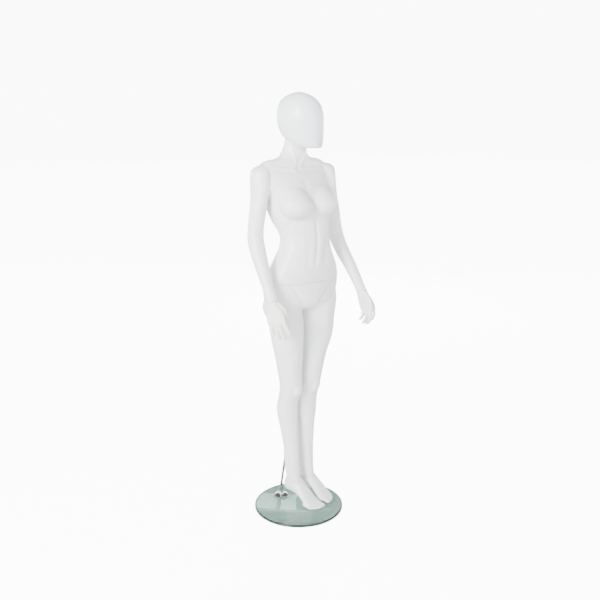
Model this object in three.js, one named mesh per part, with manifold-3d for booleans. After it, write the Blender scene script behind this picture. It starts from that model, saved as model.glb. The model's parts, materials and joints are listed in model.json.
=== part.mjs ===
// Full body mannequin: hollow polyethylene shells on a round glass base with a calf rod.
// Millimetres, +Z up. The figure faces -Y, so its right side is at -X. The origin is on the
// floor under the middle of the glass disc.
import * as THREE from 'three';
import { mergeVertices } from 'three/addons/utils/BufferGeometryUtils.js';
import Module from 'manifold-3d';

const wasm = await Module();
wasm.setup();

// ---------------------------------------------------------------- driving dimensions
const WALL = 4;                    // moulded shell wall
const SEAM = 0.5;                  // half of the gap at a joint face
const FIT = 0.4;                   // clearance between pieces that touch
const PAD_HEIGHT = 4;
const GLASS_RADIUS = 190;
const GLASS_THICKNESS = 10;
const GLASS_TOP = PAD_HEIGHT + GLASS_THICKNESS;
const FLANGE_AT = [-22, 102];      // middle of the rod flange on the glass
const FLANGE_RADIUS = 30.5;
const FLANGE_HEIGHT = 6;
const SOCKET_RADIUS = 7.3;
const SOCKET_TOP = 60;
const ROD_RADIUS = 5;
const ROD_LEAN = 12.5;             // degrees that the upper rod leans forward
const ROD_BEND_Z = 68;
const ROD_IN_CALF = 118;           // length of rod inside the calf tube
const CALF_ENTRY_Z = 206;
const HIP_SEAM_Z = 1010;           // level ring where the torso lifts off
const WAIST_AXIS = [-24, -14];     // vertical axis of the waist stud
const CHEST_X = -12;               // the chest stands a little to the figure's right
const SHOULDER_REACH = 141;        // from the middle of the chest to each arm joint
const CROTCH_X = 3;                // middle of the figure between the thighs

// Sections of the figure: [height, centre x, centre y, half width, depth ahead, depth behind, roundness].
const TORSO = [
  [890, 3, -4, 70, 40, 70, 2.0],
  [900, 3, -6, 122, 66, 96, 2.1],
  [916, 3, -8, 148, 80, 112, 2.2],
  [945, 3, -11, 157, 86, 118, 2.2],
  [980, 4, -14, 162, 89, 118, 2.2],
  [1023, 4, -19, 160, 90, 108, 2.2],
  [1064, 6, -25, 147, 88, 95, 2.2],
  [1113, 8, -28, 123, 84, 82, 2.2],
  [1147, 9, -30, 109, 81, 76, 2.2],
  [1175, 9, -30, 104, 80, 72, 2.2],
  [1205, 8, -24, 108, 82, 74, 2.2],
  [1250, 4, -11, 125, 88, 82, 2.3],
  [1290, 0, -3, 134, 92, 88, 2.4],
  [1330, -4, 2, 134, 92, 92, 2.5],
  [1362, -8, 6, 138, 86, 92, 2.5],
  [1382, -12, 10, 148, 78, 88, 2.4],
  [1412, -12, 14, 156, 66, 78, 2.3],
  [1436, -12, 18, 154, 54, 66, 2.2],
  [1450, -12, 21, 150, 46, 60, 2.1],
  [1462, -7, 24, 140, 41, 58, 2.1],
  [1474, -3, 27, 113, 40, 56, 2.0],
  [1487, -2, 29, 76, 41, 52, 2.0],
  [1501, -1, 29, 59, 42, 48, 2.0],
  [1520, 0, 28, 49, 41, 44, 2.0],
  [1545, 1, 23, 45, 40, 42, 2.0],
  [1590, 3, 14, 44, 40, 42, 2.0],
];
const RIGHT_LEG = [
  [960, -84, -10, 40, 50, 60, 2.1],
  [930, -86, -9, 60, 68, 88, 2.1],
  [895, -82, -8, 74, 76, 98, 2.1],
  [845, -69, -10, 70, 74, 84, 2.1],
  [790, -64, -12, 66, 70, 76, 2.0],
  [746, -62, -12, 62, 66, 68, 2.0],
  [692, -54, -8, 56, 60, 60, 2.0],
  [625, -46, -3, 50, 54, 54, 2.0],
  [575, -39, 2, 45.5, 51, 48, 2.0],
  [538, -35, 10, 45, 53, 44, 2.0],
  [504, -34, 20, 43, 44, 46, 2.0],
  [470, -34, 26, 42, 35, 54, 2.0],
  [422, -30, 30, 41, 34, 57, 2.0],
  [359, -22, 34, 37, 32, 50, 2.0],
  [300, -14, 38, 33, 31, 43, 2.0],
  [250, -9, 41, 31, 34, 37, 2.0],
  [206, -6, 43, 31, 36, 34, 2.0],
  [150, -2, 44, 30, 38, 34, 2.0],
  [110, 2, 44, 27, 40, 32, 2.0],
  [84, 6, 40, 22, 34, 28, 2.0],
];
const LEFT_LEG = [
  [960, 90, -10, 40, 50, 60, 2.1],
  [930, 92, -8, 60, 68, 88, 2.1],
  [895, 86, -8, 72, 74, 96, 2.1],
  [845, 81, -9, 72, 73, 84, 2.1],
  [790, 78, -10, 70, 72, 76, 2.0],
  [746, 76, -10, 62, 66, 68, 2.0],
  [692, 70, -4, 56, 60, 60, 2.0],
  [625, 65, 2, 50, 54, 54, 2.0],
  [575, 60, 9, 45.5, 51, 48, 2.0],
  [538, 57, 18, 45, 53, 44, 2.0],
  [504, 57, 24, 43, 44, 46, 2.0],
  [470, 60, 27, 42, 35, 54, 2.0],
  [422, 63, 31, 41, 34, 57, 2.0],
  [359, 66, 37, 37, 32, 50, 2.0],
  [300, 70, 43, 33, 31, 43, 2.0],
  [250, 73, 49, 31, 34, 37, 2.0],
  [206, 75, 54, 31, 36, 34, 2.0],
  [150, 79, 57, 30, 38, 34, 2.0],
  [110, 84, 58, 27, 40, 32, 2.0],
  [84, 88, 54, 22, 34, 28, 2.0],
];
// Foot sections: [distance from the heel, shift inwards, underside, top, half width].
const FOOT = [
  [3, 0, 66, 92, 8],
  [10, 0, 54, 108, 19],
  [28, 0, 50, 126, 27],
  [52, 0, 50, 134, 29],
  [80, 0, 45, 116, 29],
  [108, 0, 33, 90, 32],
  [134, 0, 19, 64, 35],
  [156, 0, 14.6, 47, 37],
  [174, 1, 14.6, 37, 36],
  [187, 3, 14.6, 31, 30],
  [194, 6, 17, 27, 17],
];
const RIGHT_FOOT = { heel: [-5, 95], yaw: 14 };
const LEFT_FOOT = { heel: [69, 110], yaw: 17 };
// Arm sections, listed for the right arm and the left arm.
const RIGHT_ARM = [
  [1452, -166, 14, 5, 8, 8, 2.0],
  [1448, -166, 14, 22, 24, 26, 2.0],
  [1437, -168, 13, 34, 38, 42, 2.0],
  [1405, -169, 11, 37, 45, 48, 2.0],
  [1355, -174, 9, 33, 42, 42, 2.0],
  [1300, -181, 10, 31.5, 37, 38, 2.0],
  [1250, -188, 13, 31, 34, 35, 2.0],
  [1205, -193, 13, 31, 33, 34, 2.0],
  [1165, -196, 2, 31, 33, 34, 2.0],
  [1115, -197, -22, 29, 32, 33, 2.0],
  [1065, -196, -47, 26, 29, 30, 2.0],
  [1010, -194, -75, 23, 26, 26, 2.0],
  [965, -192, -97, 21, 24, 24, 2.0],
  [920, -190, -119, 20, 24, 24, 2.0],
];
const LEFT_ARM = [
  [1458, 138, 14, 5, 8, 8, 2.0],
  [1454, 138, 14, 22, 24, 26, 2.0],
  [1440, 142, 13, 33, 38, 42, 2.0],
  [1405, 144, 11, 35, 45, 48, 2.0],
  [1355, 151, 9, 33, 42, 42, 2.0],
  [1300, 163, 8, 31.5, 37, 38, 2.0],
  [1240, 176, 8, 31, 34, 35, 2.0],
  [1180, 190, 5, 31, 33, 34, 2.0],
  [1140, 198, -6, 31, 33, 34, 2.0],
  [1090, 211, -32, 29, 32, 33, 2.0],
  [1040, 223, -60, 26, 29, 30, 2.0],
  [985, 234, -89, 23, 26, 26, 2.0],
  [945, 241, -110, 21, 24, 24, 2.0],
  [905, 247, -130, 20, 24, 24, 2.0],
];
// Head sections about the head's own middle, which faces HEAD_YAW degrees towards +X.
const HEAD_AT = [5, -4];
const HEAD_YAW = 27;
const HEAD = [
  [1526, 0, -52, 26, 32, 44, 2.6],
  [1530, 0, -42, 38, 46, 52, 2.5],
  [1545, 0, -30, 52, 62, 66, 2.3],
  [1562, 0, -16, 61, 78, 78, 2.2],
  [1585, 0, -6, 67, 89, 84, 2.1],
  [1618, 0, 0, 73, 96, 91, 2.1],
  [1650, 0, 0, 75, 95, 94, 2.1],
  [1682, 0, 1, 71, 87, 89, 2.0],
  [1708, 0, 2, 59, 70, 75, 2.0],
  [1725, 0, 3, 40, 47, 52, 2.0],
  [1733, 0, 4, 19, 22, 25, 2.0],
  [1735, 0, 4, 3, 4, 4, 2.0],
];
const JAW_TILT = 19;               // the neck joint face is lower in front
const JAW_AT = [2, 22, 1546];      // middle of the neck joint face

// ---------------------------------------------------------------- solids from sections
const turn = THREE.MathUtils.degToRad;

/** A closed solid from a three.js geometry, placed by a matrix. */
function solid(geometry, matrix = new THREE.Matrix4()) {
  const shape = geometry.clone().applyMatrix4(matrix);
  shape.deleteAttribute('normal');
  shape.deleteAttribute('uv');
  const merged = mergeVertices(shape, 1e-3);
  return new wasm.Manifold(new wasm.Mesh({
    numProp: 3,
    vertProperties: merged.attributes.position.array,
    triVerts: Uint32Array.from(merged.index.array),
  }));
}

/** A point on a smooth curve through four neighbouring values. */
function smooth(a, b, c, d, t) {
  return b + 0.5 * t * (c - a + t * (2 * a - 5 * b + 4 * c - d + t * (3 * (b - c) + d - a)));
}

/** Sections with extra ones blended in between. */
function blend(sections, steps) {
  const rows = [];
  const last = sections.length - 1;
  const pick = (i) => sections[Math.min(last, Math.max(0, i))];
  for (let i = 0; i < last; i += 1) {
    for (let k = 0; k < steps; k += 1) {
      rows.push(pick(i).map((_, c) => smooth(pick(i - 1)[c], pick(i)[c], pick(i + 1)[c], pick(i + 2)[c], k / steps)));
    }
  }
  rows.push(sections[last]);
  return rows;
}

/** The solid through a list of rings with the same number of points, flat at both ends. */
function skin(rings) {
  const sides = rings[0].length;
  const points = rings.flat();
  const faces = [];
  for (let r = 0; r < rings.length - 1; r += 1) {
    for (let s = 0; s < sides; s += 1) {
      const a = r * sides + s;
      const b = r * sides + ((s + 1) % sides);
      faces.push(a, b, a + sides, b, b + sides, a + sides);
    }
  }
  for (const [ring, flip] of [[0, true], [rings.length - 1, false]]) {
    const middle = rings[ring].reduce((sum, p) => sum.clone().add(p), new THREE.Vector3()).divideScalar(sides);
    const centre = points.push(middle) - 1;
    for (let s = 0; s < sides; s += 1) {
      const a = ring * sides + s;
      const b = ring * sides + ((s + 1) % sides);
      faces.push(...(flip ? [b, a, centre] : [a, b, centre]));
    }
  }
  const geometry = new THREE.BufferGeometry().setFromPoints(points);
  geometry.setIndex(faces);
  const made = solid(geometry);
  return made.volume() < 0 ? solid(flipped(geometry)) : made;
}

function flipped(geometry) {
  const copy = geometry.clone();
  const index = Array.from(geometry.index.array);
  for (let i = 0; i < index.length; i += 3) [index[i], index[i + 1]] = [index[i + 1], index[i]];
  copy.setIndex(index);
  return copy;
}

const power = (value, exponent) => Math.sign(value) * Math.abs(value) ** exponent;

/** One level ring of a section, moved in by inset and changed by an optional relief. */
function levelRing([z, cx, cy, w, f, b, n], sides, inset = 0, relief = null) {
  const ring = [];
  for (let s = 0; s < sides; s += 1) {
    const angle = (2 * Math.PI * s) / sides;
    const across = power(Math.cos(angle), 2 / n);
    const along = power(Math.sin(angle), 2 / n);
    const depth = along < 0 ? f : b;
    const point = new THREE.Vector3(
      cx + Math.max(1, w - inset) * across,
      cy + Math.max(1, depth - inset) * along,
      z,
    );
    if (relief) relief(point, -along);
    ring.push(point);
  }
  return ring;
}

function levelSolid(sections, { steps = 2, sides = 28, inset = 0, relief = null } = {}) {
  return skin(blend(sections, steps).map((row) => levelRing(row, sides, inset, relief)));
}

/** Breasts and buttocks swell out of the plain sections. */
const swell = (dx, dz) => Math.exp(-(dx * dx + dz * dz));
function bodyRelief(point, facing) {
  if (facing > 0) {
    const side = Math.abs(point.x + 2) - 76;
    const bust = point.z - 1314;
    point.y -= 46 * facing ** 0.5 * swell(side / 54, bust / (bust < 0 ? 40 : 62));
  } else {
    const side = Math.abs(point.x - 3) - 66;
    point.y += 16 * (-facing) ** 0.5 * swell(side / 46, (point.z - 935) / 70);
  }
}

// ---------------------------------------------------------------- cutting tools
/** Everything on the far side of a plane through a point, along its normal. */
function beyond(point, normal, size = 2400) {
  const box = new THREE.BoxGeometry(size, size, size).translate(0, 0, size / 2);
  const way = new THREE.Quaternion().setFromUnitVectors(
    new THREE.Vector3(0, 0, 1), new THREE.Vector3(...normal).normalize());
  return solid(box, new THREE.Matrix4().compose(new THREE.Vector3(...point), way, new THREE.Vector3(1, 1, 1)));
}

/** A matrix that stands local +Z along an axis, at a point. */
function standing(point, axis) {
  const way = new THREE.Quaternion().setFromUnitVectors(
    new THREE.Vector3(0, 0, 1), new THREE.Vector3(...axis).normalize());
  return new THREE.Matrix4().compose(new THREE.Vector3(...point), way, new THREE.Vector3(1, 1, 1));
}

/** A cylinder from one height to another along a local axis. */
function bar(radius, from, to, matrix = new THREE.Matrix4(), sides = 16) {
  const shape = new THREE.CylinderGeometry(radius, radius, to - from, sides).rotateX(Math.PI / 2);
  return solid(shape.translate(0, 0, (from + to) / 2), matrix);
}

/** A turned piece: [radius, height] pairs from the axis back to the axis. */
function turned(profile, matrix = new THREE.Matrix4(), sides = 16) {
  const outline = profile.map(([r, z]) => new THREE.Vector2(r, z));
  const shape = new THREE.LatheGeometry(outline, sides).rotateX(Math.PI / 2);
  const made = solid(shape, matrix);
  return made.volume() < 0 ? solid(flipped(shape.index ? shape : mergeVertices(shape)), matrix) : made;
}

// ---------------------------------------------------------------- finishes and assembly
const finish = (color, roughness, metalness, extra = {}) =>
  new THREE.MeshStandardMaterial({ color, roughness, metalness, ...extra });
const WHITE = finish('#e6e6e4', 0.42, 0);
const HEAD_WHITE = finish('#e2e6e8', 0.42, 0);
const HAND_WHITE = finish('#e8e5e1', 0.45, 0);
const STEEL = finish('#b9bcc0', 0.35, 1);
const CHROME = finish('#c9ccd0', 0.12, 1);
const GLASS = finish('#b9d6c8', 0.05, 0, { transparent: true, opacity: 0.5 });
const RUBBER = finish('#d9dcd8', 0.6, 0);

const mannequin = new THREE.Group();

/** Adds a finished solid to the assembly as a named piece. */
function piece(name, body, material) {
  const { numProp, vertProperties, triVerts } = body.getMesh();
  const geometry = new THREE.BufferGeometry();
  const places = new Float32Array((vertProperties.length / numProp) * 3);
  for (let v = 0; v < places.length / 3; v += 1) {
    places.set(vertProperties.subarray(v * numProp, v * numProp + 3), v * 3);
  }
  geometry.setAttribute('position', new THREE.BufferAttribute(places, 3));
  geometry.setIndex(Array.from(triVerts));
  geometry.computeVertexNormals();
  const mesh = new THREE.Mesh(geometry, material);
  mesh.name = name;
  mannequin.add(mesh);
  return body;
}

// ---------------------------------------------------------------- joint faces
const [waistX, waistY] = WAIST_AXIS;
const waistFace = { at: [waistX, waistY, HIP_SEAM_Z], axis: [0, 0, 1] };
const neckAxis = [0, -Math.sin(turn(JAW_TILT)), Math.cos(turn(JAW_TILT))];
const neckFace = { at: JAW_AT, axis: neckAxis };
const shoulderFace = (side) => ({ at: [CHEST_X + side * SHOULDER_REACH, 11, 1408], axis: [side, 0, 0] });
const hipFace = { at: [56, -12, 953], axis: [0.755, 0, -0.656] };
const WRIST = {
  right: { at: [-192, -100, 958], down: [14, -34, -146], thumb: [0.5, -0.87, 0] },
  left: { at: [240, -108, 950], down: [30, -36, -118], thumb: [0.2, -0.98, 0] },
};
const wristFace = (name) => ({ at: WRIST[name].at, axis: WRIST[name].down });
const along = ({ at, axis }, distance) => {
  const step = new THREE.Vector3(...axis).normalize().multiplyScalar(distance);
  return [at[0] + step.x, at[1] + step.y, at[2] + step.z];
};
/** The side of a joint face that its axis points to, from a distance on. */
const ahead = (face, distance) => beyond(along(face, distance), face.axis);
const behind = (face, distance) => beyond(along(face, -distance), face.axis.map((v) => -v));

// ---------------------------------------------------------------- fittings at the joints
/** A steel ring behind the fixed face, and a flanged stud held by the moving face. */
function fitting(name, face, { shaft, ring, base, head, pocket = 0 }, finished = (body) => body) {
  const place = standing(face.at, face.axis);
  const deck = SEAM + WALL + FIT;
  const plate = bar(ring, -deck - 2, -deck, place).subtract(bar(shaft + 0.6, -deck - 3, 0, place));
  const foot = pocket ? SEAM + FIT : deck;
  const top = pocket ? pocket - FIT : deck + 2.5;
  const stud = turned([
    [0, -deck - 6], [head - 1.5, -deck - 6], [head, -deck - 4.5], [head, -deck - 2 - FIT],
    [shaft, -deck - 2 - FIT], [shaft, foot], [base, foot], [base, top], [0, top],
  ], place);
  piece(`${name}_plate`, finished(plate, -1), STEEL);
  piece(`${name}_stud`, finished(stud, 1), STEEL);
}
const NECK = { shaft: 6, ring: 18, base: 18, head: 12 };
const SHOULDER = { shaft: 7, ring: 17, base: 18, head: 12 };
const WAIST = { shaft: 12, ring: 44, base: 44, head: 22 };
const WRIST_SIZE = { shaft: 4, ring: 13, base: 11, head: 7, pocket: 9 };
const opening = (face, size, reach = 9) => bar(size.shaft + 2, -reach, reach, standing(face.at, face.axis));

fitting('neck', neckFace, NECK);
fitting('right_shoulder', shoulderFace(-1), SHOULDER);
fitting('left_shoulder', shoulderFace(1), SHOULDER);
fitting('right_wrist', wristFace('right'), WRIST_SIZE);
fitting('left_wrist', wristFace('left'), WRIST_SIZE);

// Three screws hold each waist fitting to its shell.
const WAIST_SCREWS = 3;
const SCREW_CIRCLE = 36;
function waistScrew(index, side) {
  const angle = turn(90 + (360 / WAIST_SCREWS) * index);
  const x = waistX + SCREW_CIRCLE * Math.cos(angle);
  const y = waistY + SCREW_CIRCLE * Math.sin(angle);
  const place = new THREE.Matrix4().makeTranslation(x, y, HIP_SEAM_Z);
  if (side > 0) place.multiply(new THREE.Matrix4().makeRotationX(Math.PI));
  return place;
}
const plateDepth = SEAM + WALL + FIT + 2.5;
const screwShape = [
  [0, -plateDepth - 2.8], [3.4, -plateDepth - 2.4], [4, -plateDepth - 0.3], [1.9, -plateDepth - 0.3],
  [1.9, -SEAM - 1], [0, -SEAM - 1],
];
const screwHole = (place) => bar(2.3, -plateDepth - 1, -SEAM - 0.5, place, 12);

/** Takes the screw holes out of a waist shell or fitting. */
function drilled(body, side) {
  return Array.from({ length: WAIST_SCREWS }).reduce(
    (left, _, i) => left.subtract(screwHole(waistScrew(i, side))), body);
}
for (let i = 0; i < WAIST_SCREWS; i += 1) {
  piece(`waist_plate_screw_${i + 1}`, turned(screwShape, waistScrew(i, -1), 12), STEEL);
  piece(`waist_stud_screw_${i + 1}`, turned(screwShape, waistScrew(i, 1), 12), STEEL);
}
fitting('waist', waistFace, WAIST, drilled);

// ---------------------------------------------------------------- support rod and calf tube
const rodTilt = turn(ROD_LEAN);
const rodAxis = [0, -Math.sin(rodTilt), Math.cos(rodTilt)];
const [flangeX, flangeY] = FLANGE_AT;
const rodPlace = standing([flangeX, flangeY, ROD_BEND_Z], rodAxis);
const entry = (CALF_ENTRY_Z - ROD_BEND_Z) / Math.cos(rodTilt);
const rodEnd = entry + ROD_IN_CALF;
const upright = new THREE.Matrix4().makeTranslation(flangeX, flangeY, 0);
const elbow = new THREE.SphereGeometry(ROD_RADIUS, 16, 12).translate(flangeX, flangeY, ROD_BEND_Z);
const rod = bar(ROD_RADIUS, GLASS_TOP + 7.4, ROD_BEND_Z, upright, 16)
  .add(solid(elbow)).add(bar(ROD_RADIUS, 0, rodEnd, rodPlace, 16));
piece('support_rod', rod, CHROME);

const tubeStart = entry + 8;
const calfTube = bar(7, tubeStart, rodEnd + 3, rodPlace, 20)
  .add(bar(11, rodEnd - 12, rodEnd - 9, rodPlace, 20))
  .subtract(bar(ROD_RADIUS + FIT, tubeStart - 5, rodEnd + FIT, rodPlace, 16));
const calfHole = bar(7.4, entry - 30, rodEnd + 4, rodPlace, 20);
piece('calf_tube', calfTube, STEEL);

// ---------------------------------------------------------------- lower body and legs
/** One foot, from sections along its length. */
function foot({ heel, yaw }, inwards) {
  const forward = [Math.sin(turn(yaw)), -Math.cos(turn(yaw))];
  const rings = FOOT.map(([reach, shift, low, high, half]) => {
    const cx = heel[0] + forward[0] * reach - forward[1] * shift * inwards;
    const cy = heel[1] + forward[1] * reach + forward[0] * shift * inwards;
    const ring = [];
    for (let s = 0; s < 14; s += 1) {
      const angle = (2 * Math.PI * s) / 14;
      const side = half * power(Math.cos(angle), 0.85);
      const rise = power(Math.sin(angle), 0.85);
      ring.push(new THREE.Vector3(
        cx - forward[1] * side, cy + forward[0] * side, (low + high) / 2 + ((high - low) / 2) * rise));
    }
    return ring;
  });
  return skin(rings);
}
const pelvis = levelSolid(TORSO.slice(0, 7), { steps: 1, sides: 24, relief: bodyRelief });
const pelvisInside = levelSolid(TORSO.slice(2, 7), { steps: 1, sides: 12, inset: 10 });
const rightLeg = levelSolid(RIGHT_LEG, { steps: 1, sides: 16 });
const leftLeg = levelSolid(LEFT_LEG, { steps: 1, sides: 16 });
const belowWaist = beyond([0, 0, HIP_SEAM_Z - SEAM], [0, 0, -1]);
const insideWaist = beyond([0, 0, HIP_SEAM_Z - SEAM - WALL], [0, 0, -1]);
const legSections = (rows) => rows.slice(0, -3);
const rightHollow = levelSolid(legSections(RIGHT_LEG), { steps: 1, sides: 8, inset: 6 });
const leftHollow = levelSolid(legSections(LEFT_LEG), { steps: 1, sides: 8, inset: 6 });

// The hip joint face cuts the left leg off along a slant, and its post pulls out sideways.
const POST = { radius: 9, reach: 34 };
const postPlace = standing([56, -12, 953], [-1, 0, 0]);
const postHole = bar(POST.radius + 1, -22, 26, postPlace);
const legDeck = SEAM + WALL + FIT;
const hipPlate = bar(30, -legDeck - 2.5, -legDeck, standing(hipFace.at, hipFace.axis))
  .subtract(bar(POST.radius + 0.6, -60, 60, postPlace));
const legPost = bar(28, legDeck, legDeck + 2.5, standing(hipFace.at, hipFace.axis))
  .add(bar(POST.radius, 0, POST.reach, postPlace).add(bar(POST.radius, -9, 1, postPlace)));
piece('hip_plate', hipPlate, STEEL);
piece('left_leg_post', legPost, STEEL);

const leftSide = (inset) => ahead(hipFace, inset).intersect(beyond([CROTCH_X + inset, 0, 0], [1, 0, 0]));
const lowerBody = pelvis.subtract(leftSide(-SEAM)).add(rightLeg).add(foot(RIGHT_FOOT, 1)).intersect(belowWaist);
const lowerHollow = pelvisInside.subtract(leftSide(-SEAM - WALL)).add(rightHollow).intersect(insideWaist);
const lowerShell = drilled(lowerBody.subtract(lowerHollow), -1)
  .subtract(opening(waistFace, WAIST)).subtract(postHole).subtract(calfHole);
piece('lower_body_shell', lowerShell, WHITE);

const legBody = pelvis.intersect(leftSide(SEAM)).add(leftLeg.intersect(ahead(hipFace, SEAM)))
  .add(foot(LEFT_FOOT, -1)).intersect(belowWaist);
const legHollow = pelvisInside.intersect(leftSide(SEAM + WALL))
  .add(leftHollow.intersect(ahead(hipFace, SEAM + WALL))).intersect(insideWaist);
piece('left_leg_shell', legBody.subtract(legHollow).subtract(postHole), WHITE);

// ---------------------------------------------------------------- torso
const shoulderCuts = (inset) => behind(shoulderFace(-1), inset).intersect(behind(shoulderFace(1), inset));
const upper = TORSO.slice(4);
const torsoBody = levelSolid(upper, { steps: 1, sides: 26, relief: bodyRelief })
  .intersect(beyond([0, 0, HIP_SEAM_Z + SEAM], [0, 0, 1]))
  .intersect(shoulderCuts(SEAM)).intersect(behind(neckFace, SEAM));
const torsoHollow = levelSolid(upper, { steps: 1, sides: 14, inset: 8, relief: bodyRelief })
  .intersect(beyond([0, 0, HIP_SEAM_Z + SEAM + WALL], [0, 0, 1]))
  .intersect(shoulderCuts(SEAM + WALL)).intersect(behind(neckFace, SEAM + WALL));
const torsoShell = drilled(torsoBody.subtract(torsoHollow), 1)
  .subtract(opening(waistFace, WAIST)).subtract(opening(neckFace, NECK))
  .subtract(opening(shoulderFace(-1), SHOULDER)).subtract(opening(shoulderFace(1), SHOULDER));
piece('torso_shell', torsoShell, WHITE);

// ---------------------------------------------------------------- head
const headPlace = new THREE.Matrix4().makeTranslation(HEAD_AT[0], HEAD_AT[1], 0)
  .multiply(new THREE.Matrix4().makeRotationZ(turn(HEAD_YAW)));
const headSolid = (options) => levelSolid(HEAD, options).transform(headPlace.toArray());
const headShell = headSolid({ steps: 1, sides: 20 }).intersect(ahead(neckFace, SEAM))
  .subtract(headSolid({ steps: 1, sides: 12, inset: 8 }).intersect(ahead(neckFace, SEAM + WALL))
    .intersect(beyond([0, 0, 1534], [0, 0, 1])).intersect(beyond([0, 0, 1727], [0, 0, -1])))
  .subtract(opening(neckFace, NECK));
piece('head_shell', headShell, HEAD_WHITE);

// ---------------------------------------------------------------- arms
function armShell(name, sections, side) {
  const shoulder = shoulderFace(side);
  const wrist = wristFace(name);
  const outer = levelSolid(sections, { steps: 1, sides: 14 })
    .intersect(ahead(shoulder, SEAM)).intersect(behind(wrist, SEAM));
  const hollow = levelSolid(sections.slice(1), { steps: 1, sides: 8, inset: 5 })
    .intersect(ahead(shoulder, SEAM + WALL)).intersect(behind(wrist, SEAM + WALL));
  return outer.subtract(hollow).subtract(opening(shoulder, SHOULDER)).subtract(opening(wrist, WRIST_SIZE));
}
piece('right_arm_shell', armShell('right', RIGHT_ARM, -1), WHITE);
piece('left_arm_shell', armShell('left', LEFT_ARM, 1), WHITE);

// ---------------------------------------------------------------- hands
// Palm sections: [distance from the wrist, shift towards the thumb, half width, half thickness].
const PALM = [
  [0.5, 0, 23, 19], [16, 0, 25, 18], [40, 1, 34, 15], [66, 1, 39, 13.5], [82, 0, 38, 12], [92, 0, 33, 8],
];
// Fingers: [distance along the hand, shift towards the thumb, length, radius].
const FINGERS = [[78, 29, 70, 8], [82, 10, 80, 8], [80, -9, 75, 7.6], [74, -27, 60, 7]];
const CURL = { right: [6, 10, 12], left: [24, 34, 26] };
const SPREAD = { right: [10, 0, -1, -3], left: [4, 1, -1, -3] };
const THUMB = {
  right: [[16, 20, 6, 13], [40, 32, 16, 11], [64, 34, 22, 9], [88, 29, 24, 7]],
  left: [[16, 20, 6, 13], [38, 34, 14, 11], [62, 40, 20, 9], [86, 38, 24, 7]],
};

function handShape(name) {
  const { at, down, thumb } = WRIST[name];
  const axis = new THREE.Vector3(...down).normalize();
  const width = new THREE.Vector3(...thumb).addScaledVector(axis, -axis.dot(new THREE.Vector3(...thumb))).normalize();
  const palm = new THREE.Vector3().crossVectors(width, axis).multiplyScalar(name === 'right' ? 1 : -1);
  const origin = new THREE.Vector3(...at);
  const spot = (t, e, p) => origin.clone().addScaledVector(axis, t).addScaledVector(width, e).addScaledVector(palm, p);
  const oval = (centre, side, front, a, b, count) => Array.from({ length: count }, (_, s) => {
    const angle = (2 * Math.PI * s) / count;
    return centre.clone().addScaledVector(side, a * Math.cos(angle)).addScaledVector(front, b * Math.sin(angle));
  });
  let hand = skin(PALM.map(([t, e, w, d]) => oval(spot(t, e, 0), width, palm, w, d, 12)));
  FINGERS.forEach(([t, e, length, radius], i) => {
    let centre = spot(t, e, 0);
    let bend = 0;
    const rings = [oval(spot(t - 12, e * 0.8, 0), width, palm, radius, radius, 6)];
    CURL[name].forEach((curl, joint) => {
      bend += turn(curl);
      const spread = turn(SPREAD[name][i]);
      const way = axis.clone().multiplyScalar(Math.cos(bend) * Math.cos(spread))
        .addScaledVector(palm, Math.sin(bend)).addScaledVector(width, Math.sin(spread));
      const front = new THREE.Vector3().crossVectors(way, width).normalize();
      const r = radius * (1 - 0.1 * joint);
      rings.push(oval(centre, width, front, r, r, 6));
      centre = centre.clone().addScaledVector(way, length * [0.45, 0.3, 0.25][joint]);
      if (joint === 2) {
        rings.push(oval(centre.clone().addScaledVector(way, -5), width, front, r * 0.85, r * 0.8, 6));
        rings.push(oval(centre, width, front, r * 0.4, r * 0.4, 6));
      }
    });
    hand = hand.add(skin(rings));
  });
  const thumbRings = THUMB[name].map(([t, e, p, r]) => oval(spot(t, e, p), width, palm, r, r * 0.85, 6));
  return hand.add(skin(thumbRings))
    .intersect(ahead(wristFace(name), SEAM))
    .subtract(bar(WRIST_SIZE.base + FIT, -5, WRIST_SIZE.pocket, standing(at, down)));
}
piece('right_hand', handShape('right'), HAND_WHITE);
piece('left_hand', handShape('left'), HAND_WHITE);

// ---------------------------------------------------------------- glass base
const glassBottom = PAD_HEIGHT;
const glass = turned([
  [0, glassBottom], [GLASS_RADIUS - 1.5, glassBottom], [GLASS_RADIUS, glassBottom + 1.5],
  [GLASS_RADIUS, GLASS_TOP - 1.5], [GLASS_RADIUS - 1.5, GLASS_TOP], [0, GLASS_TOP],
], undefined, 56).subtract(bar(5, 0, GLASS_TOP + 1, upright));
piece('glass_base', glass, GLASS);

const seat = GLASS_TOP + 0.3;
const flange = turned([
  [0, seat], [FLANGE_RADIUS, seat], [FLANGE_RADIUS, seat + 1.4], [27, seat + 3.2], [18, seat + 5],
  [9.5, seat + FLANGE_HEIGHT], [SOCKET_RADIUS, seat + 8], [SOCKET_RADIUS, SOCKET_TOP - 1],
  [SOCKET_RADIUS - 0.8, SOCKET_TOP], [ROD_RADIUS + FIT, SOCKET_TOP], [ROD_RADIUS + FIT, GLASS_TOP + 7],
  [0, GLASS_TOP + 7],
], upright, 20).subtract(bar(4.4, GLASS_TOP - 2, GLASS_TOP + 5.4, upright, 16));
const CLAMP_Z = 51;
const clampPlace = standing([flangeX, flangeY, CLAMP_Z], [1, 0, 0]);
piece('base_flange', flange.subtract(bar(2.4, 3, 12, clampPlace, 12)), CHROME);
piece('clamp_screw', bar(2, ROD_RADIUS + 0.3, 9, clampPlace, 12).add(bar(3.4, 8.2, 11.5, clampPlace, 12)), CHROME);
piece('flange_washer', bar(14, 2.6, glassBottom - 0.3, upright).subtract(bar(4.6, 0, 5, upright)), STEEL);
piece('flange_bolt', bar(9, 0.6, 2.3, upright, 6).add(bar(4, 2, GLASS_TOP + 5, upright, 16)), STEEL);

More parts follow.
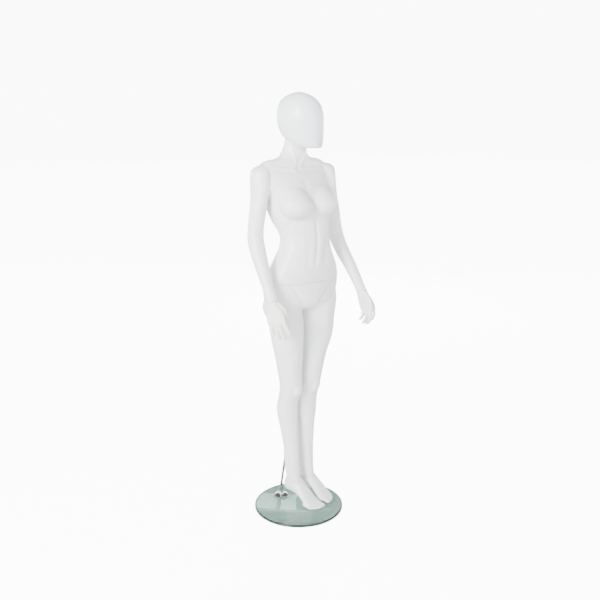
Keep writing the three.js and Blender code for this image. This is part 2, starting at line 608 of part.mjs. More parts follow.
const PAD_CIRCLE = 150;
for (let i = 0; i < 4; i += 1) {
  const angle = turn(45 + 90 * i);
  const place = new THREE.Matrix4().makeTranslation(PAD_CIRCLE * Math.cos(angle), PAD_CIRCLE * Math.sin(angle), 0);
  const pad = turned([[0, 0], [8, 0], [9, 1], [9, PAD_HEIGHT - 0.3], [0, PAD_HEIGHT - 0.3]], place, 16);
  piece(`rubber_pad_${i + 1}`, pad, RUBBER);
}

export default mannequin;
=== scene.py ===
"""Full body mannequin: satin white polyethylene shells on a green-edged glass base with a calf rod."""

import json
import math

import bmesh
import bpy
import numpy as np
from mathutils import Matrix, Vector

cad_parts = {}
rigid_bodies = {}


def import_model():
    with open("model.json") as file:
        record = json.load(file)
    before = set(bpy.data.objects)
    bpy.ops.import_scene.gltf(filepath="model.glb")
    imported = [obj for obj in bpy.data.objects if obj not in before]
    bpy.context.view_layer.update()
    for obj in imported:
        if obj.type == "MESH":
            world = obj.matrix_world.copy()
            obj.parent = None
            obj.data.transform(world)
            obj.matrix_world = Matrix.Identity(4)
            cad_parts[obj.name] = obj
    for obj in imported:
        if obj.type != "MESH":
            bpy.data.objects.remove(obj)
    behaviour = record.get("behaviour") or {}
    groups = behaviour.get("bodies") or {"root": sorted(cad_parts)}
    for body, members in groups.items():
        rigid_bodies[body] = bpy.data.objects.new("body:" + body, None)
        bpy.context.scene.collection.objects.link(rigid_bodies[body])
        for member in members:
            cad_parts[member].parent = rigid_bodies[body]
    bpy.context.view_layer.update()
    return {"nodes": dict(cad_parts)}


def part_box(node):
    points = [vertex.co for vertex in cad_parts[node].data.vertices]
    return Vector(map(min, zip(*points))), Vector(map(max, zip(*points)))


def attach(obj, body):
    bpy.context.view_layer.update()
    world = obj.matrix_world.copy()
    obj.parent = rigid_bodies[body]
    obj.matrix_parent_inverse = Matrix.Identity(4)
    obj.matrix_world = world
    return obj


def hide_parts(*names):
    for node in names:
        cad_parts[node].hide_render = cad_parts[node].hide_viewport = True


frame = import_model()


# ---- glass base
# A 10 mm disc of clear float glass with a green body tint and a ground, rounded rim that looks almost
# black from the side. It stands on four soft pads, and the bolt of the rod flange comes up through it; this
# disc is made without its bolt hole.
def nodes_of(name):
    """A new material with its shader node, its node list and its links."""
    finish = bpy.data.materials.new(name)
    finish.use_nodes = True
    tree = finish.node_tree
    return finish, tree.nodes["Principled BSDF"], tree.nodes, tree.links


def add_node(nodes, kind, **values):
    """A node of that kind with its settings and input values."""
    node = nodes.new(kind)
    for key, value in values.items():
        if hasattr(node, key):
            setattr(node, key, value)
        else:
            node.inputs[key.replace("_", " ")].default_value = value
    return node


def mottle(finish_nodes, dark, light, kind="ShaderNodeTexNoise", output="Fac", **settings):
    """Clouds the base colour between two colours, and returns the place and pattern nodes."""
    shader, nodes, links = finish_nodes[1:]
    place = add_node(nodes, "ShaderNodeTexCoord")
    pattern = add_node(nodes, kind, **settings)
    links.new(place.outputs["Object"], pattern.inputs["Vector"])
    tone = add_node(nodes, "ShaderNodeMix", data_type="RGBA")
    tone.inputs[6].default_value = (*dark, 1)
    tone.inputs[7].default_value = (*light, 1)
    links.new(pattern.outputs[output], tone.inputs[0])
    links.new(tone.outputs[2], shader.inputs["Base Color"])
    return place, pattern, tone


def follow(finish_nodes, source, socket, low, high, **limits):
    """Lets a pattern move a value of the shader between a low and a high one."""
    shader, nodes, links = finish_nodes[1:]
    change = add_node(nodes, "ShaderNodeMapRange", To_Min=low, To_Max=high, **limits)
    links.new(source, change.inputs["Value"])
    links.new(change.outputs["Result"], shader.inputs[socket])


def stand_for(piece, material, slot, body, *replaced):
    """Gives a finished piece its material, its body and the CAD nodes it stands for; the slot is not used."""
    piece.data.materials.clear()
    piece.data.materials.append(material)
    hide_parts(*replaced)
    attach(piece, body)


def start_piece():
    """Leaves nothing selected and returns to object mode, so that the next primitive stands alone."""
    if bpy.context.object and bpy.context.object.mode != "OBJECT":
        bpy.ops.object.mode_set(mode="OBJECT")
    bpy.ops.object.select_all(action="DESELECT")


def name_piece(name):
    """Names the active piece, puts its place into its mesh and returns it."""
    piece = bpy.context.object
    start_piece()
    piece.select_set(True)
    bpy.ops.object.transform_apply(location=True, rotation=True, scale=True)
    piece.name = name
    piece.data.name = name
    return piece


def choose_edges(rule):
    """In edit mode, selects only the edges whose two ends satisfy a rule."""
    bpy.ops.mesh.select_mode(type="EDGE")
    bpy.ops.mesh.select_all(action="DESELECT")
    shape = bmesh.from_edit_mesh(bpy.context.object.data)
    for edge in shape.edges:
        edge.select_set(rule(edge.verts[0].co, edge.verts[1].co))
    bmesh.update_edit_mesh(bpy.context.object.data)


glass_low, glass_high = map(Vector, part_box("glass_base"))
glass_radius = (glass_high.x - glass_low.x) / 2
glass_thickness = glass_high.z - glass_low.z
glass_middle = (glass_low + glass_high) / 2
RIM_ROUND = 0.0028

start_piece()
bpy.ops.mesh.primitive_cylinder_add(
    vertices=192, radius=glass_radius, depth=glass_thickness, location=glass_middle)
bpy.ops.object.mode_set(mode="EDIT")
choose_edges(lambda a, b: abs(a.z - b.z) < 1e-5 and min(a.xy.length, b.xy.length) > 0.9 * glass_radius)
bpy.ops.mesh.bevel(offset=RIM_ROUND, segments=5, profile=0.5)
glass = name_piece("glass_disc")
bpy.ops.object.shade_smooth_by_angle(angle=math.radians(40))


RIM_STARTS, RIM_FULL = 0.0065, 0.0042


def green_glass():
    finish, shader, nodes, links = parts = nodes_of("green_float_glass")
    shader.inputs["IOR"].default_value = 1.5
    place, _, tint = mottle(parts, (0.66, 0.87, 0.78), (0.71, 0.91, 0.83), Scale=14.0, Detail=3.0)
    apart = add_node(nodes, "ShaderNodeSeparateXYZ")
    flat = add_node(nodes, "ShaderNodeCombineXYZ")
    reach = add_node(nodes, "ShaderNodeVectorMath", operation="LENGTH")
    links.new(place.outputs["Object"], apart.inputs[0])
    links.new(apart.outputs["X"], flat.inputs["X"])
    links.new(apart.outputs["Y"], flat.inputs["Y"])
    links.new(flat.outputs[0], reach.inputs[0])
    rim = add_node(nodes, "ShaderNodeMapRange", From_Min=glass_radius - RIM_STARTS,
                   From_Max=glass_radius - RIM_FULL)
    links.new(reach.outputs["Value"], rim.inputs["Value"])
    colour = add_node(nodes, "ShaderNodeMix", data_type="RGBA")
    colour.inputs[7].default_value = (0.012, 0.035, 0.028, 1)
    links.new(rim.outputs["Result"], colour.inputs[0])
    links.new(tint.outputs[2], colour.inputs[6])
    links.new(colour.outputs[2], shader.inputs["Base Color"])
    follow(parts, rim.outputs["Result"], "Roughness", 0.02, 0.22)
    follow(parts, rim.outputs["Result"], "Transmission Weight", 0.93, 0.25)
    return finish


stand_for(glass, green_glass(), "green_glass", "base", "glass_base")


# ---- pads under the glass
# Four clear soft bumpers, domed and slightly cloudy, stuck to the underside of the glass. Each is a
# short turned button whose lower edge is rounded.
def clear_rubber():
    finish, shader, *_ = parts = nodes_of("clear_bumper_rubber")
    mottle(parts, (0.62, 0.66, 0.63), (0.76, 0.79, 0.76), Scale=260.0, Detail=4.0)
    shader.inputs["Roughness"].default_value = 0.34
    shader.inputs["Transmission Weight"].default_value = 0.45
    return finish


bumper_finish = clear_rubber()
for number in range(1, 5):
    pad_low, pad_high = map(Vector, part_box(f"rubber_pad_{number}"))
    pad_middle = (pad_low + pad_high) / 2
    start_piece()
    bpy.ops.mesh.primitive_cylinder_add(
        vertices=40, radius=(pad_high.x - pad_low.x) / 2, depth=pad_high.z - pad_low.z, location=pad_middle)
    bpy.ops.object.mode_set(mode="EDIT")
    choose_edges(lambda a, b: a.z < pad_middle.z and b.z < pad_middle.z)
    bpy.ops.mesh.bevel(offset=0.0014, segments=4, profile=0.5)
    pad = name_piece(f"soft_pad_{number}")
    bpy.ops.object.shade_smooth_by_angle(angle=math.radians(45))
    stand_for(pad, bumper_finish, "clear_rubber", "base", f"rubber_pad_{number}")


# ---- rod flange
# A low domed steel flange with an upright socket for the rod, chrome plated. It is turned, with a flat
# rim, a shallow dome, a fillet up into the socket and a small collar round the socket's mouth.
def turned_piece(name, outline, middle, steps=64):
    """Spins an outline of (radius, height) points, from the axis back to the axis, into a closed piece."""
    start_piece()
    bpy.ops.mesh.primitive_plane_add(size=0.001)
    piece = bpy.context.object
    bpy.ops.object.mode_set(mode="EDIT")
    bpy.ops.mesh.select_all(action="SELECT")
    bpy.ops.mesh.delete(type="VERT")
    shape = bmesh.from_edit_mesh(piece.data)
    corners = [shape.verts.new((radius, 0, height)) for radius, height in outline]
    for first, second in zip(corners, corners[1:]):
        shape.edges.new((first, second))
    bmesh.update_edit_mesh(piece.data)
    bpy.ops.mesh.select_all(action="SELECT")
    bpy.ops.mesh.spin(steps=steps, angle=2 * math.pi, center=(0, 0, 0), axis=(0, 0, 1))
    bpy.ops.mesh.select_all(action="SELECT")
    bpy.ops.mesh.remove_doubles(threshold=1e-6)
    bpy.ops.mesh.normals_make_consistent(inside=False)
    bpy.ops.object.mode_set(mode="OBJECT")
    piece.matrix_world = middle if isinstance(middle, Matrix) else Matrix.Translation(middle)
    piece = name_piece(name)
    bpy.ops.object.shade_smooth_by_angle(angle=math.radians(32))
    return piece


def arc(centre, radius, start, end, steps=6):
    """Points on part of a circle in an outline, from one angle to another in degrees."""
    turns = [math.radians(start + (end - start) * k / steps) for k in range(steps + 1)]
    return [(centre[0] + radius * math.cos(t), centre[1] + radius * math.sin(t)) for t in turns]


def polished_chrome(name="polished_chrome_plate", colour=(0.62, 0.63, 0.65), rough=0.07):
    finish, shader, *_ = parts = nodes_of(name)
    _, haze, _ = mottle(parts, [c * 0.86 for c in colour], colour, Scale=90.0, Detail=5.0, Roughness=0.6)
    follow(parts, haze.outputs["Fac"], "Roughness", rough, rough + 0.12)
    shader.inputs["Metallic"].default_value = 1.0
    return finish


chrome = polished_chrome()
flange_low, flange_high = map(Vector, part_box("base_flange"))
flange_middle = Vector(((flange_low.x + flange_high.x) / 2, (flange_low.y + flange_high.y) / 2, flange_low.z))
flange_radius = (flange_high.x - flange_low.x) / 2
socket_height = flange_high.z - flange_low.z
rod_radius = 0.005
socket_radius = 0.0073
bore = rod_radius + 0.0004
flange = turned_piece("rod_flange", [
    (0, 0), (flange_radius - 0.0004, 0), *arc((flange_radius - 0.0007, 0.0008), 0.0007, -60, 80, 5),
    (flange_radius - 0.0026, 0.0024), (flange_radius - 0.006, 0.0036), (flange_radius - 0.0115, 0.0049),
    (0.0140, 0.0056), *arc((socket_radius + 0.0034, 0.0090), 0.0034, 268, 182, 7),
    (socket_radius, 0.0130), (socket_radius, socket_height - 0.0062),
    (socket_radius + 0.0001, socket_height - 0.0060), (socket_radius + 0.0001, socket_height - 0.0010),
    *arc((socket_radius - 0.0009, socket_height - 0.0009), 0.0009, 0, 90, 4),
    (bore + 0.0003, socket_height), (bore, socket_height - 0.0004), (bore, 0.0075), (0, 0.0075),
], flange_middle)
stand_for(flange, chrome, "polished_chrome", "base", "base_flange")


# ---- bolt and washer under the glass
# Zinc plated steel: a low bolt comes up through the glass into the flange, with a wide flat washer
# under its head. The plates, studs and screws inside the figure have the same finish.
def zinc_plate():
    finish, shader, nodes, links = parts = nodes_of("zinc_plated_steel")
    place, _, _ = mottle(parts, (0.42, 0.43, 0.44), (0.60, 0.61, 0.62), "ShaderNodeTexVoronoi", "Distance",
                         Scale=130.0)
    grain = add_node(nodes, "ShaderNodeTexNoise", Scale=420.0, Detail=4.0, Roughness=0.7)
    links.new(place.outputs["Object"], grain.inputs["Vector"])
    follow(parts, grain.outputs["Fac"], "Roughness", 0.28, 0.5)
    shader.inputs["Metallic"].default_value = 0.95
    return finish


zinc = zinc_plate()
ZINC_PARTS = [
    "flange_washer", "flange_bolt", "calf_tube", "hip_plate", "left_leg_post", "neck_plate", "neck_stud",
    "waist_plate", "waist_stud",
    *[f"waist_{part}_screw_{number}" for part in ("plate", "stud") for number in (1, 2, 3)],
    *[f"{side}_{joint}_{part}" for side in ("right", "left") for joint in ("shoulder", "wrist")
      for part in ("plate", "stud")],
]
for part_name in ZINC_PARTS:
    part = frame["nodes"][part_name]
    part.data.materials.clear()
    part.data.materials.append(zinc)


# ---- support rod
# A 10 mm polished steel rod: upright in its socket, then leaning forward into the right calf. It is a
# bar extruded in stages round the bend.
ROD_LEAN = math.radians(12.5)
ROD_BEND_Z = 0.068
rod_low, rod_high = map(Vector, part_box("support_rod"))
rod_foot = Vector((flange_middle.x, flange_middle.y, rod_low.z))
rod_bend = Vector((flange_middle.x, flange_middle.y, ROD_BEND_Z))
rod_way = Vector((0, -math.sin(ROD_LEAN), math.cos(ROD_LEAN)))
rod_length = (rod_high.z - ROD_BEND_Z - rod_radius * math.sin(ROD_LEAN)) / math.cos(ROD_LEAN)
BEND_STEPS = 6
BEND_SPAN = 0.008

start_piece()
bpy.ops.mesh.primitive_circle_add(vertices=32, radius=rod_radius, fill_type="NGON", location=rod_foot)
bpy.ops.object.mode_set(mode="EDIT")
bpy.ops.mesh.select_mode(type="FACE")
bpy.ops.mesh.select_all(action="SELECT")
upright_part = rod_bend.z - BEND_SPAN / 2 - rod_foot.z
bpy.ops.mesh.extrude_region_move(TRANSFORM_OT_translate={"value": (0, 0, upright_part)})
top = rod_foot + Vector((0, 0, upright_part))
for step in range(BEND_STEPS):
    lean = ROD_LEAN * (step + 1) / BEND_STEPS
    stride = Vector((0, -math.sin(lean), math.cos(lean))) * BEND_SPAN / BEND_STEPS
    bpy.ops.mesh.extrude_region_move(TRANSFORM_OT_translate={"value": stride})
    top += stride
    bpy.ops.transform.rotate(value=-ROD_LEAN / BEND_STEPS, orient_axis="X", center_override=top)
bpy.ops.mesh.extrude_region_move(TRANSFORM_OT_translate={"value": rod_way * (rod_length - BEND_SPAN / 2)})
bpy.ops.mesh.select_all(action="SELECT")
bpy.ops.mesh.normals_make_consistent(inside=False)
rod = name_piece("calf_rod")
bpy.ops.object.shade_smooth_by_angle(angle=math.radians(40))
# The rod is the same polished chrome as the flange, darkened: its darker colour is painted dark reflections.
chrome_painted_dark_reflections = polished_chrome("chrome_rod_painted_dark_reflections", (0.30, 0.31, 0.33), 0.09)
stand_for(rod, chrome_painted_dark_reflections, "polished_chrome", "rod", "support_rod")


# ---- clamp screw
# A small chromed screw in the side of the socket that clamps the rod. Its head is domed with a
# straight slot, and its shank runs in to the rod.
clamp_low, clamp_high = map(Vector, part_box("clamp_screw"))
clamp_axis = Vector((0, (clamp_low.y + clamp_high.y) / 2, (clamp_low.z + clamp_high.z) / 2))
clamp_place = Matrix.Translation(Vector((clamp_low.x, clamp_axis.y, clamp_axis.z))) @ Matrix.Rotation(
    math.pi / 2, 4, "Y")
clamp_length = clamp_high.x - clamp_low.x
head_radius = (clamp_high.z - clamp_low.z) / 2
clamp = turned_piece("clamp_screw_piece", [
    (0, 0), (0.0016, 0), (0.0020, 0.0004), (0.0020, clamp_length - 0.0033),
    (head_radius, clamp_length - 0.0033), (head_radius, clamp_length - 0.0010),
    *arc((head_radius - 0.0009, clamp_length - 0.0010), 0.0009, 0, 70, 4),
    (0.0012, clamp_length), (0, clamp_length),
], clamp_place, steps=32)
start_piece()
bpy.ops.mesh.primitive_cube_add(size=1, location=(clamp_high.x, clamp_axis.y, clamp_axis.z))
slot_cutter = bpy.context.object
slot_cutter.scale = (0.0016, 0.0009, 0.009)


def cut_with(piece, cutter, operation="DIFFERENCE", solver="EXACT"):
    """Applies a boolean cut and deletes the cutter."""
    bpy.ops.object.select_all(action="DESELECT")
    bpy.context.view_layer.objects.active = piece
    cut = piece.modifiers.new("cut", "BOOLEAN")
    cut.operation = operation
    cut.solver = solver
    cut.object = cutter
    bpy.ops.object.modifier_apply(modifier=cut.name)
    bpy.data.objects.remove(cutter, do_unlink=True)


cut_with(clamp, slot_cutter)
stand_for(clamp, chrome, "polished_chrome", "clamp", "clamp_screw")


# ---- lower body with the right leg
# The hips and the right leg are one hollow shell of white polyethylene, rotationally moulded, with a
# satin skin. It ends in a level joint face at the hips and a slanting one where the left leg plugs on.
MM = 0.001
HIP_SEAM = 1010
SEAM_GAP = 0.5
TRUNK = [
    [890, 3, -4, 70, 40, 70, 2.0], [900, 3, -6, 122, 66, 96, 2.1], [916, 3, -8, 148, 80, 112, 2.2],
    [945, 3, -11, 157, 86, 118, 2.2], [980, 4, -14, 162, 89, 118, 2.2], [1023, 4, -19, 160, 90, 108, 2.2],
    [1064, 6, -25, 147, 88, 95, 2.2], [1113, 8, -28, 123, 84, 82, 2.2], [1147, 9, -30, 109, 81, 76, 2.2],
    [1175, 9, -30, 104, 80, 72, 2.2], [1205, 8, -24, 108, 82, 74, 2.2], [1250, 4, -11, 125, 88, 82, 2.3],
    [1290, 0, -3, 134, 90, 88, 2.4], [1330, -4, 2, 134, 88, 92, 2.5], [1362, -8, 6, 138, 84, 92, 2.5],
    [1382, -12, 10, 148, 78, 88, 2.4], [1412, -12, 14, 156, 66, 78, 2.3], [1436, -12, 18, 154, 54, 66, 2.2],
    [1450, -12, 21, 150, 46, 60, 2.1], [1462, -7, 24, 140, 41, 58, 2.1], [1474, -3, 27, 113, 40, 56, 2.0],
    [1487, -2, 29, 76, 41, 52, 2.0], [1501, -1, 29, 59, 42, 48, 2.0], [1520, 0, 28, 49, 41, 44, 2.0],
    [1545, 1, 23, 45, 40, 42, 2.0], [1590, 3, 14, 44, 40, 42, 2.0],
]
RIGHT_LEG = [
    [960, -84, -10, 40, 50, 60], [930, -86, -9, 60, 68, 88], [895, -82, -8, 74, 76, 98],
    [845, -69, -10, 70, 74, 84], [790, -64, -12, 66, 70, 76], [746, -62, -12, 62, 66, 68],
    [692, -54, -8, 56, 60, 60], [625, -46, -3, 50, 54, 54], [575, -39, 2, 45.5, 51, 48],
    [538, -35, 10, 45, 53, 44], [504, -34, 20, 43, 44, 46], [470, -34, 26, 42, 35, 54],
    [422, -30, 30, 41, 34, 57], [359, -22, 34, 37, 32, 50], [300, -14, 38, 33, 31, 43],
    [250, -9, 41, 31, 34, 37], [206, -6, 43, 31, 36, 34], [150, -2, 44, 30, 38, 34],
    [110, 2, 44, 27, 40, 32], [84, 6, 40, 22, 34, 28],
]
# Foot sections: reach from the heel, shift inwards, underside, top, half width.
FOOT = [
    [3, 0, 66, 92, 8], [10, 0, 54, 108, 19], [28, 0, 50, 126, 27], [52, 0, 50, 134, 29],
    [80, 0, 45, 116, 29], [108, 0, 33, 90, 31], [134, 0, 19, 64, 34], [152, 0, 14.6, 47, 34.5],
    [166, 1, 14.6, 37, 32], [175, 2, 14.6, 31, 25],
]
# Toes from the big one out: shift inwards, reach of the tip, half width, half height.
TOES = [
    [20, 196, 11.2, 8.8], [3, 194, 8.2, 7.6], [-10, 188, 7.8, 7.2], [-20.5, 179, 7.5, 6.9],
    [-30, 169, 7.2, 6.5],
]
# Sections of a toe: distance back from its tip, share of its size, lift.
TOE_SECTIONS = [(46, 0.7, 6), (30, 0.92, 4.0), (15, 1.0, 0.6), (6, 0.96, 0), (1.6, 0.66, 0), (0, 0.2, 0)]
TOE_FAN = 0.002
SOLE = 14.4
RIGHT_FOOT = (-5, 95), 14, 1


def facings_of(piece, kind="normal"):
    """The outward direction at each corner of a mesh."""
    flat = np.empty(len(piece.data.vertices) * 3, np.float32)
    piece.data.vertices.foreach_get(kind, flat)
    return flat.reshape(-1, 3).astype(float)


def corners_of(piece):
    """The places of all corners of a mesh, in millimetres."""
    return facings_of(piece, "co") / MM


def move_corners(piece, places):
    piece.data.vertices.foreach_set("co", (places * MM).astype(np.float32).ravel())
    piece.data.update()


def row_between(table, place):
    """Rows of a table at fractional places, on smooth curves through all of its rows."""
    last = len(table) - 1
    at = np.clip(np.floor(place), 0, last - 1).astype(int)
    t = (place - at)[:, None]
    a, b, c, d = (table[np.clip(at + k, 0, last)] for k in (-1, 0, 1, 2))
    return 0.5 * (2 * b + (c - a) * t + (2 * a - 5 * b + 4 * c - d) * t**2 + (3 * b - a - 3 * c + d) * t**3)


def power(value, exponent):
    return np.sign(value) * np.abs(value) ** exponent


def grown_form(stations, around=44, between=3):
    """A capped skin through sections: centre, side, ahead and behind vectors, and a roundness."""
    start_piece()
    bpy.ops.mesh.primitive_cylinder_add(vertices=around, radius=1, depth=1)
    form = bpy.context.object
    bpy.ops.object.mode_set(mode="EDIT")
    choose_edges(lambda a, b: abs(a.z - b.z) > 0.5)
    gaps = len(stations) - 1
    bpy.ops.mesh.subdivide(number_cuts=gaps * between - 1)
    bpy.ops.object.mode_set(mode="OBJECT")
    table = np.array([[*centre, *side, *ahead, *behind, roundness]
                      for centre, side, ahead, behind, roundness in stations], float)
    corner = corners_of(form) * MM
    row = row_between(table, (corner[:, 2] + 0.5) * gaps)
    turn = np.arctan2(corner[:, 1], corner[:, 0])
    across = power(np.cos(turn), 2 / row[:, 12])[:, None]
    along = power(np.sin(turn), 2 / row[:, 12])[:, None]
    depth = np.where(along < 0, row[:, 6:9], row[:, 9:12]) * np.abs(along)
    move_corners(form, row[:, 0:3] + row[:, 3:6] * across + depth)
    bpy.ops.object.mode_set(mode="EDIT")
    bpy.ops.mesh.select_all(action="SELECT")
    bpy.ops.mesh.normals_make_consistent(inside=False)
    bpy.ops.object.mode_set(mode="OBJECT")
    return form


def level(rows):
    """Stations from rows of height, centre x and y, half width, reach ahead and behind, roundness."""
    return [((x, y, z), (width, 0, 0), (0, -ahead, 0), (0, behind, 0), rest[0] if rest else 2.0)
            for z, x, y, width, ahead, behind, *rest in rows]


def foot_lines(heel, yaw, inwards):
    """The heel's place on the floor, the way the foot points and the way to its inner side."""
    way = np.array([math.sin(math.radians(yaw)), -math.cos(math.radians(yaw)), 0])
    return np.array([*heel, 0]), way, np.array([-way[1], way[0], 0]) * inwards


def foot_forms(heel, yaw, inwards, longer=0):
    """A foot on tiptoe with five toes, as separate overlapping forms."""
    start, way, inner = foot_lines(heel, yaw, inwards)
    stations = []
    for reach, shift, low, high, half in FOOT:
        middle = start + way * reach + inner * shift + np.array([0, 0, (low + high) / 2])
        rise = (high - low) / 2
        stations.append((middle, inner * half, (0, 0, -rise), (0, 0, rise), 2.35))
    forms = [grown_form(stations, around=32)]
    for shift, tip, half, rise in TOES:
        tip += longer
        toe = []
        for back, size, lift in TOE_SECTIONS:
            middle = start + way * (tip - back) + inner * (shift * (1 + back * TOE_FAN))
            middle[2] = SOLE + rise + lift
            toe.append((middle, inner * half * size, (0, 0, -rise * size), (0, 0, rise * size), 2.2))
        forms.append(grown_form(toe, around=20))
    return forms


def fuse(forms, name, voxel, passes=9):
    """Joins overlapping forms into one even skin and evens out the joins."""
    start_piece()
    for form in forms:
        form.select_set(True)
    bpy.context.view_layer.objects.active = forms[0]
    bpy.ops.object.join()
    piece = name_piece(name)
    piece.data.remesh_voxel_size = voxel * MM
    piece.data.use_remesh_fix_poles = False
    bpy.ops.object.voxel_remesh()
    soften(piece, passes)
    return piece


def soften(piece, passes, middle=None, reach=None):
    """Evens out the skin everywhere, or only around a point."""
    calm = piece.modifiers.new("calm", "SMOOTH")
    calm.factor = 0.5
    calm.iterations = passes
    if middle is not None:
        share = closeness(corners_of(piece), middle, reach)
        near = piece.vertex_groups.new(name="near")
        for index in np.flatnonzero(share > 0.02):
            near.add([int(index)], float(share[index]), "REPLACE")
        calm.vertex_group = "near"
    start_piece()
    bpy.context.view_layer.objects.active = piece
    bpy.ops.object.modifier_apply(modifier="calm")
    piece.vertex_groups.clear()


def closeness(corner, middle, reach):
    """1 at a point, falling off to 0 over a reach that is one number or one for each axis."""
    return np.exp(-(((corner - np.array(middle)) / np.array(reach)) ** 2).sum(1))


def swell(piece, middle, reach, lift, way=None):
    """Raises the skin round a point along its own facing, or along a given way."""
    corner = corners_of(piece)
    push = facings_of(piece) if way is None else np.array(way)[None, :]
    move_corners(piece, corner + push * (lift * closeness(corner, middle, reach))[:, None])


def crease(piece, path, width, depth, facing, ends=0.25):
    """Presses a groove, or raises a ridge, along a path seen from one side; it fades at both ends."""
    facing = np.array(facing, float) / np.linalg.norm(facing)
    corner = corners_of(piece)
    normal = facings_of(piece)
    points = np.array(path, float)
    flat = points - (points @ facing)[:, None] * facing
    seen = corner - (corner @ facing)[:, None] * facing
    spans = np.linalg.norm(flat[1:] - flat[:-1], axis=1)
    total, passed = spans.sum(), 0.0
    nearest = np.full(len(corner), 1e9)
    where = np.zeros(len(corner))
    for a, b, span in zip(flat, flat[1:], spans):
        t = np.clip(((seen - a) @ (b - a)) / span**2, 0, 1)
        gap = np.linalg.norm(seen - a - t[:, None] * (b - a), axis=1)
        closer = gap < nearest
        nearest = np.where(closer, gap, nearest)
        where = np.where(closer, (passed + t * span) / total, where)
        passed += span
    fade = np.clip(np.minimum(where, 1 - where) / max(ends, 1e-3), 0, 1)
    fade = fade * fade * (3 - 2 * fade)
    side = np.clip(normal @ facing, 0, 1) ** 0.5
    near = np.abs(corner @ facing - np.median(points @ facing)) < 90
    press = depth * np.exp(-((nearest / width) ** 2)) * fade * side * near
    move_corners(piece, corner - normal * press[:, None])


def ring_valley(piece, point, normal, width=3.2, depth=0.9, near=None):
    """Rounds both sides of a joint line a little, where the moulds of two pieces meet."""
    corner = corners_of(piece)
    normal = np.array(normal, float) / np.linalg.norm(normal)
    gap = (corner - np.array(point)) @ normal
    press = depth * np.exp(-((gap / width) ** 2))
    if near is not None:
        press = press * near(corner)
    move_corners(piece, corner - facings_of(piece) * press[:, None])


def place_on(point, axis):
    """A matrix that puts the origin on a point in millimetres and +Z on an axis."""
    return Matrix.Translation(Vector(point) * MM) @ Vector((0, 0, 1)).rotation_difference(
        Vector(axis)).to_matrix().to_4x4()


def bar_cutter(radius, low, high, point, axis, steps=48):
    """A plain round cutter between two distances along an axis from a point."""
    start_piece()
    bpy.ops.mesh.primitive_cylinder_add(
        vertices=steps, radius=radius * MM, depth=(high - low) * MM, location=(0, 0, (high + low) / 2 * MM))
    cutter = bpy.context.object
    bpy.ops.object.transform_apply(location=True)
    cutter.data.transform(place_on(point, axis))
    return cutter


def beyond_cutter(point, axis, size=1400, across=0):
    """A block that fills the space beyond a plane."""
    start_piece()
    bpy.ops.mesh.primitive_cube_add(size=1)
    cutter = bpy.context.object
    span = (across or size) * MM
    block = Matrix.Translation((0, 0, size / 2 * MM)) @ Matrix.Diagonal((span, span, size * MM, 1))
    cutter.data.transform(block)
    cutter.data.transform(place_on(point, axis))
    return cutter


def cut(piece, cutter, keep_inside=False):
    """Cuts a block out of a piece, or keeps only what lies inside the block."""
    cut_with(piece, cutter, "INTERSECT" if keep_inside else "DIFFERENCE", "MANIFOLD")


def stepped(point, axis, distance):
    """The point that lies a distance along an axis."""
    return list(Vector(point) + Vector(axis).normalized() * distance)


PLATE_TOP = 4.6
POST_HOLE = 10, -24, 36


def fitting_room(piece, point, axis, hole, room, depth=12.5):
    """Hollows out one side of a joint face for its steel plate: a round hole, then a wider room."""
    cut(piece, bar_cutter(hole, -1, depth - 1, point, axis, 32))
    cut(piece, bar_cutter(room, PLATE_TOP, depth, point, axis))


WAIST_AT = (-24, -14, HIP_SEAM)
HIP_AT, HIP_AXIS = (56, -12, 953), (0.755, 0, -0.656)
CROTCH_X = 3


def satin_white(name, colour, shade, rough):
    """Moulded polyethylene: an even satin white with faint clouding and a fine ripple."""
    finish, shader, nodes, links = parts = nodes_of(name)
    place, cloud, tone = mottle(parts, [c * shade for c in colour], colour, Scale=7.0, Detail=4.0,
                                Roughness=0.55)
    grain = add_node(nodes, "ShaderNodeTexNoise", Scale=900.0, Detail=2.0, Roughness=0.6)
    ripple = add_node(nodes, "ShaderNodeTexNoise", Scale=38.0, Detail=3.0, Roughness=0.5)
    for noise in (grain, ripple):
        links.new(place.outputs["Object"], noise.inputs["Vector"])
    spread = add_node(nodes, "ShaderNodeMapRange", From_Min=0.35, From_Max=0.65)
    links.new(cloud.outputs["Fac"], spread.inputs["Value"])
    links.new(spread.outputs["Result"], tone.inputs[0])
    follow(parts, ripple.outputs["Fac"], "Roughness", rough - 0.04, rough + 0.05, From_Min=0.3, From_Max=0.7)
    rise = add_node(nodes, "ShaderNodeBump", Strength=0.10, Distance=0.0006)
    fine = add_node(nodes, "ShaderNodeBump", Strength=0.06, Distance=0.0001)
    links.new(ripple.outputs["Fac"], rise.inputs["Height"])
    links.new(grain.outputs["Fac"], fine.inputs["Height"])
    links.new(rise.outputs["Normal"], fine.inputs["Normal"])
    links.new(fine.outputs["Normal"], shader.inputs["Normal"])
    shader.inputs["Specular IOR Level"].default_value = 0.5
    return finish


body_white = satin_white("satin_white_polyethylene", (0.77, 0.775, 0.775), 0.95, 0.36)


def finish_shell(piece, material, slot, body, *replaced):
    """Drops the crumbs that a cut leaves loose, and shades the skin smooth with crisp joint edges."""
    start_piece()
    bpy.context.view_layer.objects.active = piece
    piece.select_set(True)
    top = max(piece.data.vertices, key=lambda corner: corner.co.z).index
    bpy.ops.object.mode_set(mode="EDIT")
    bpy.ops.mesh.select_mode(type="VERT")
    bpy.ops.mesh.select_all(action="DESELECT")
    bpy.ops.object.mode_set(mode="OBJECT")
    piece.data.vertices[top].select = True
    bpy.ops.object.mode_set(mode="EDIT")
    bpy.ops.mesh.select_linked()
    bpy.ops.mesh.select_all(action="INVERT")
    bpy.ops.mesh.delete(type="VERT")
    bpy.ops.object.mode_set(mode="OBJECT")
    bpy.ops.object.shade_smooth_by_angle(angle=math.radians(42))
    stand_for(piece, material, slot, body, *replaced)


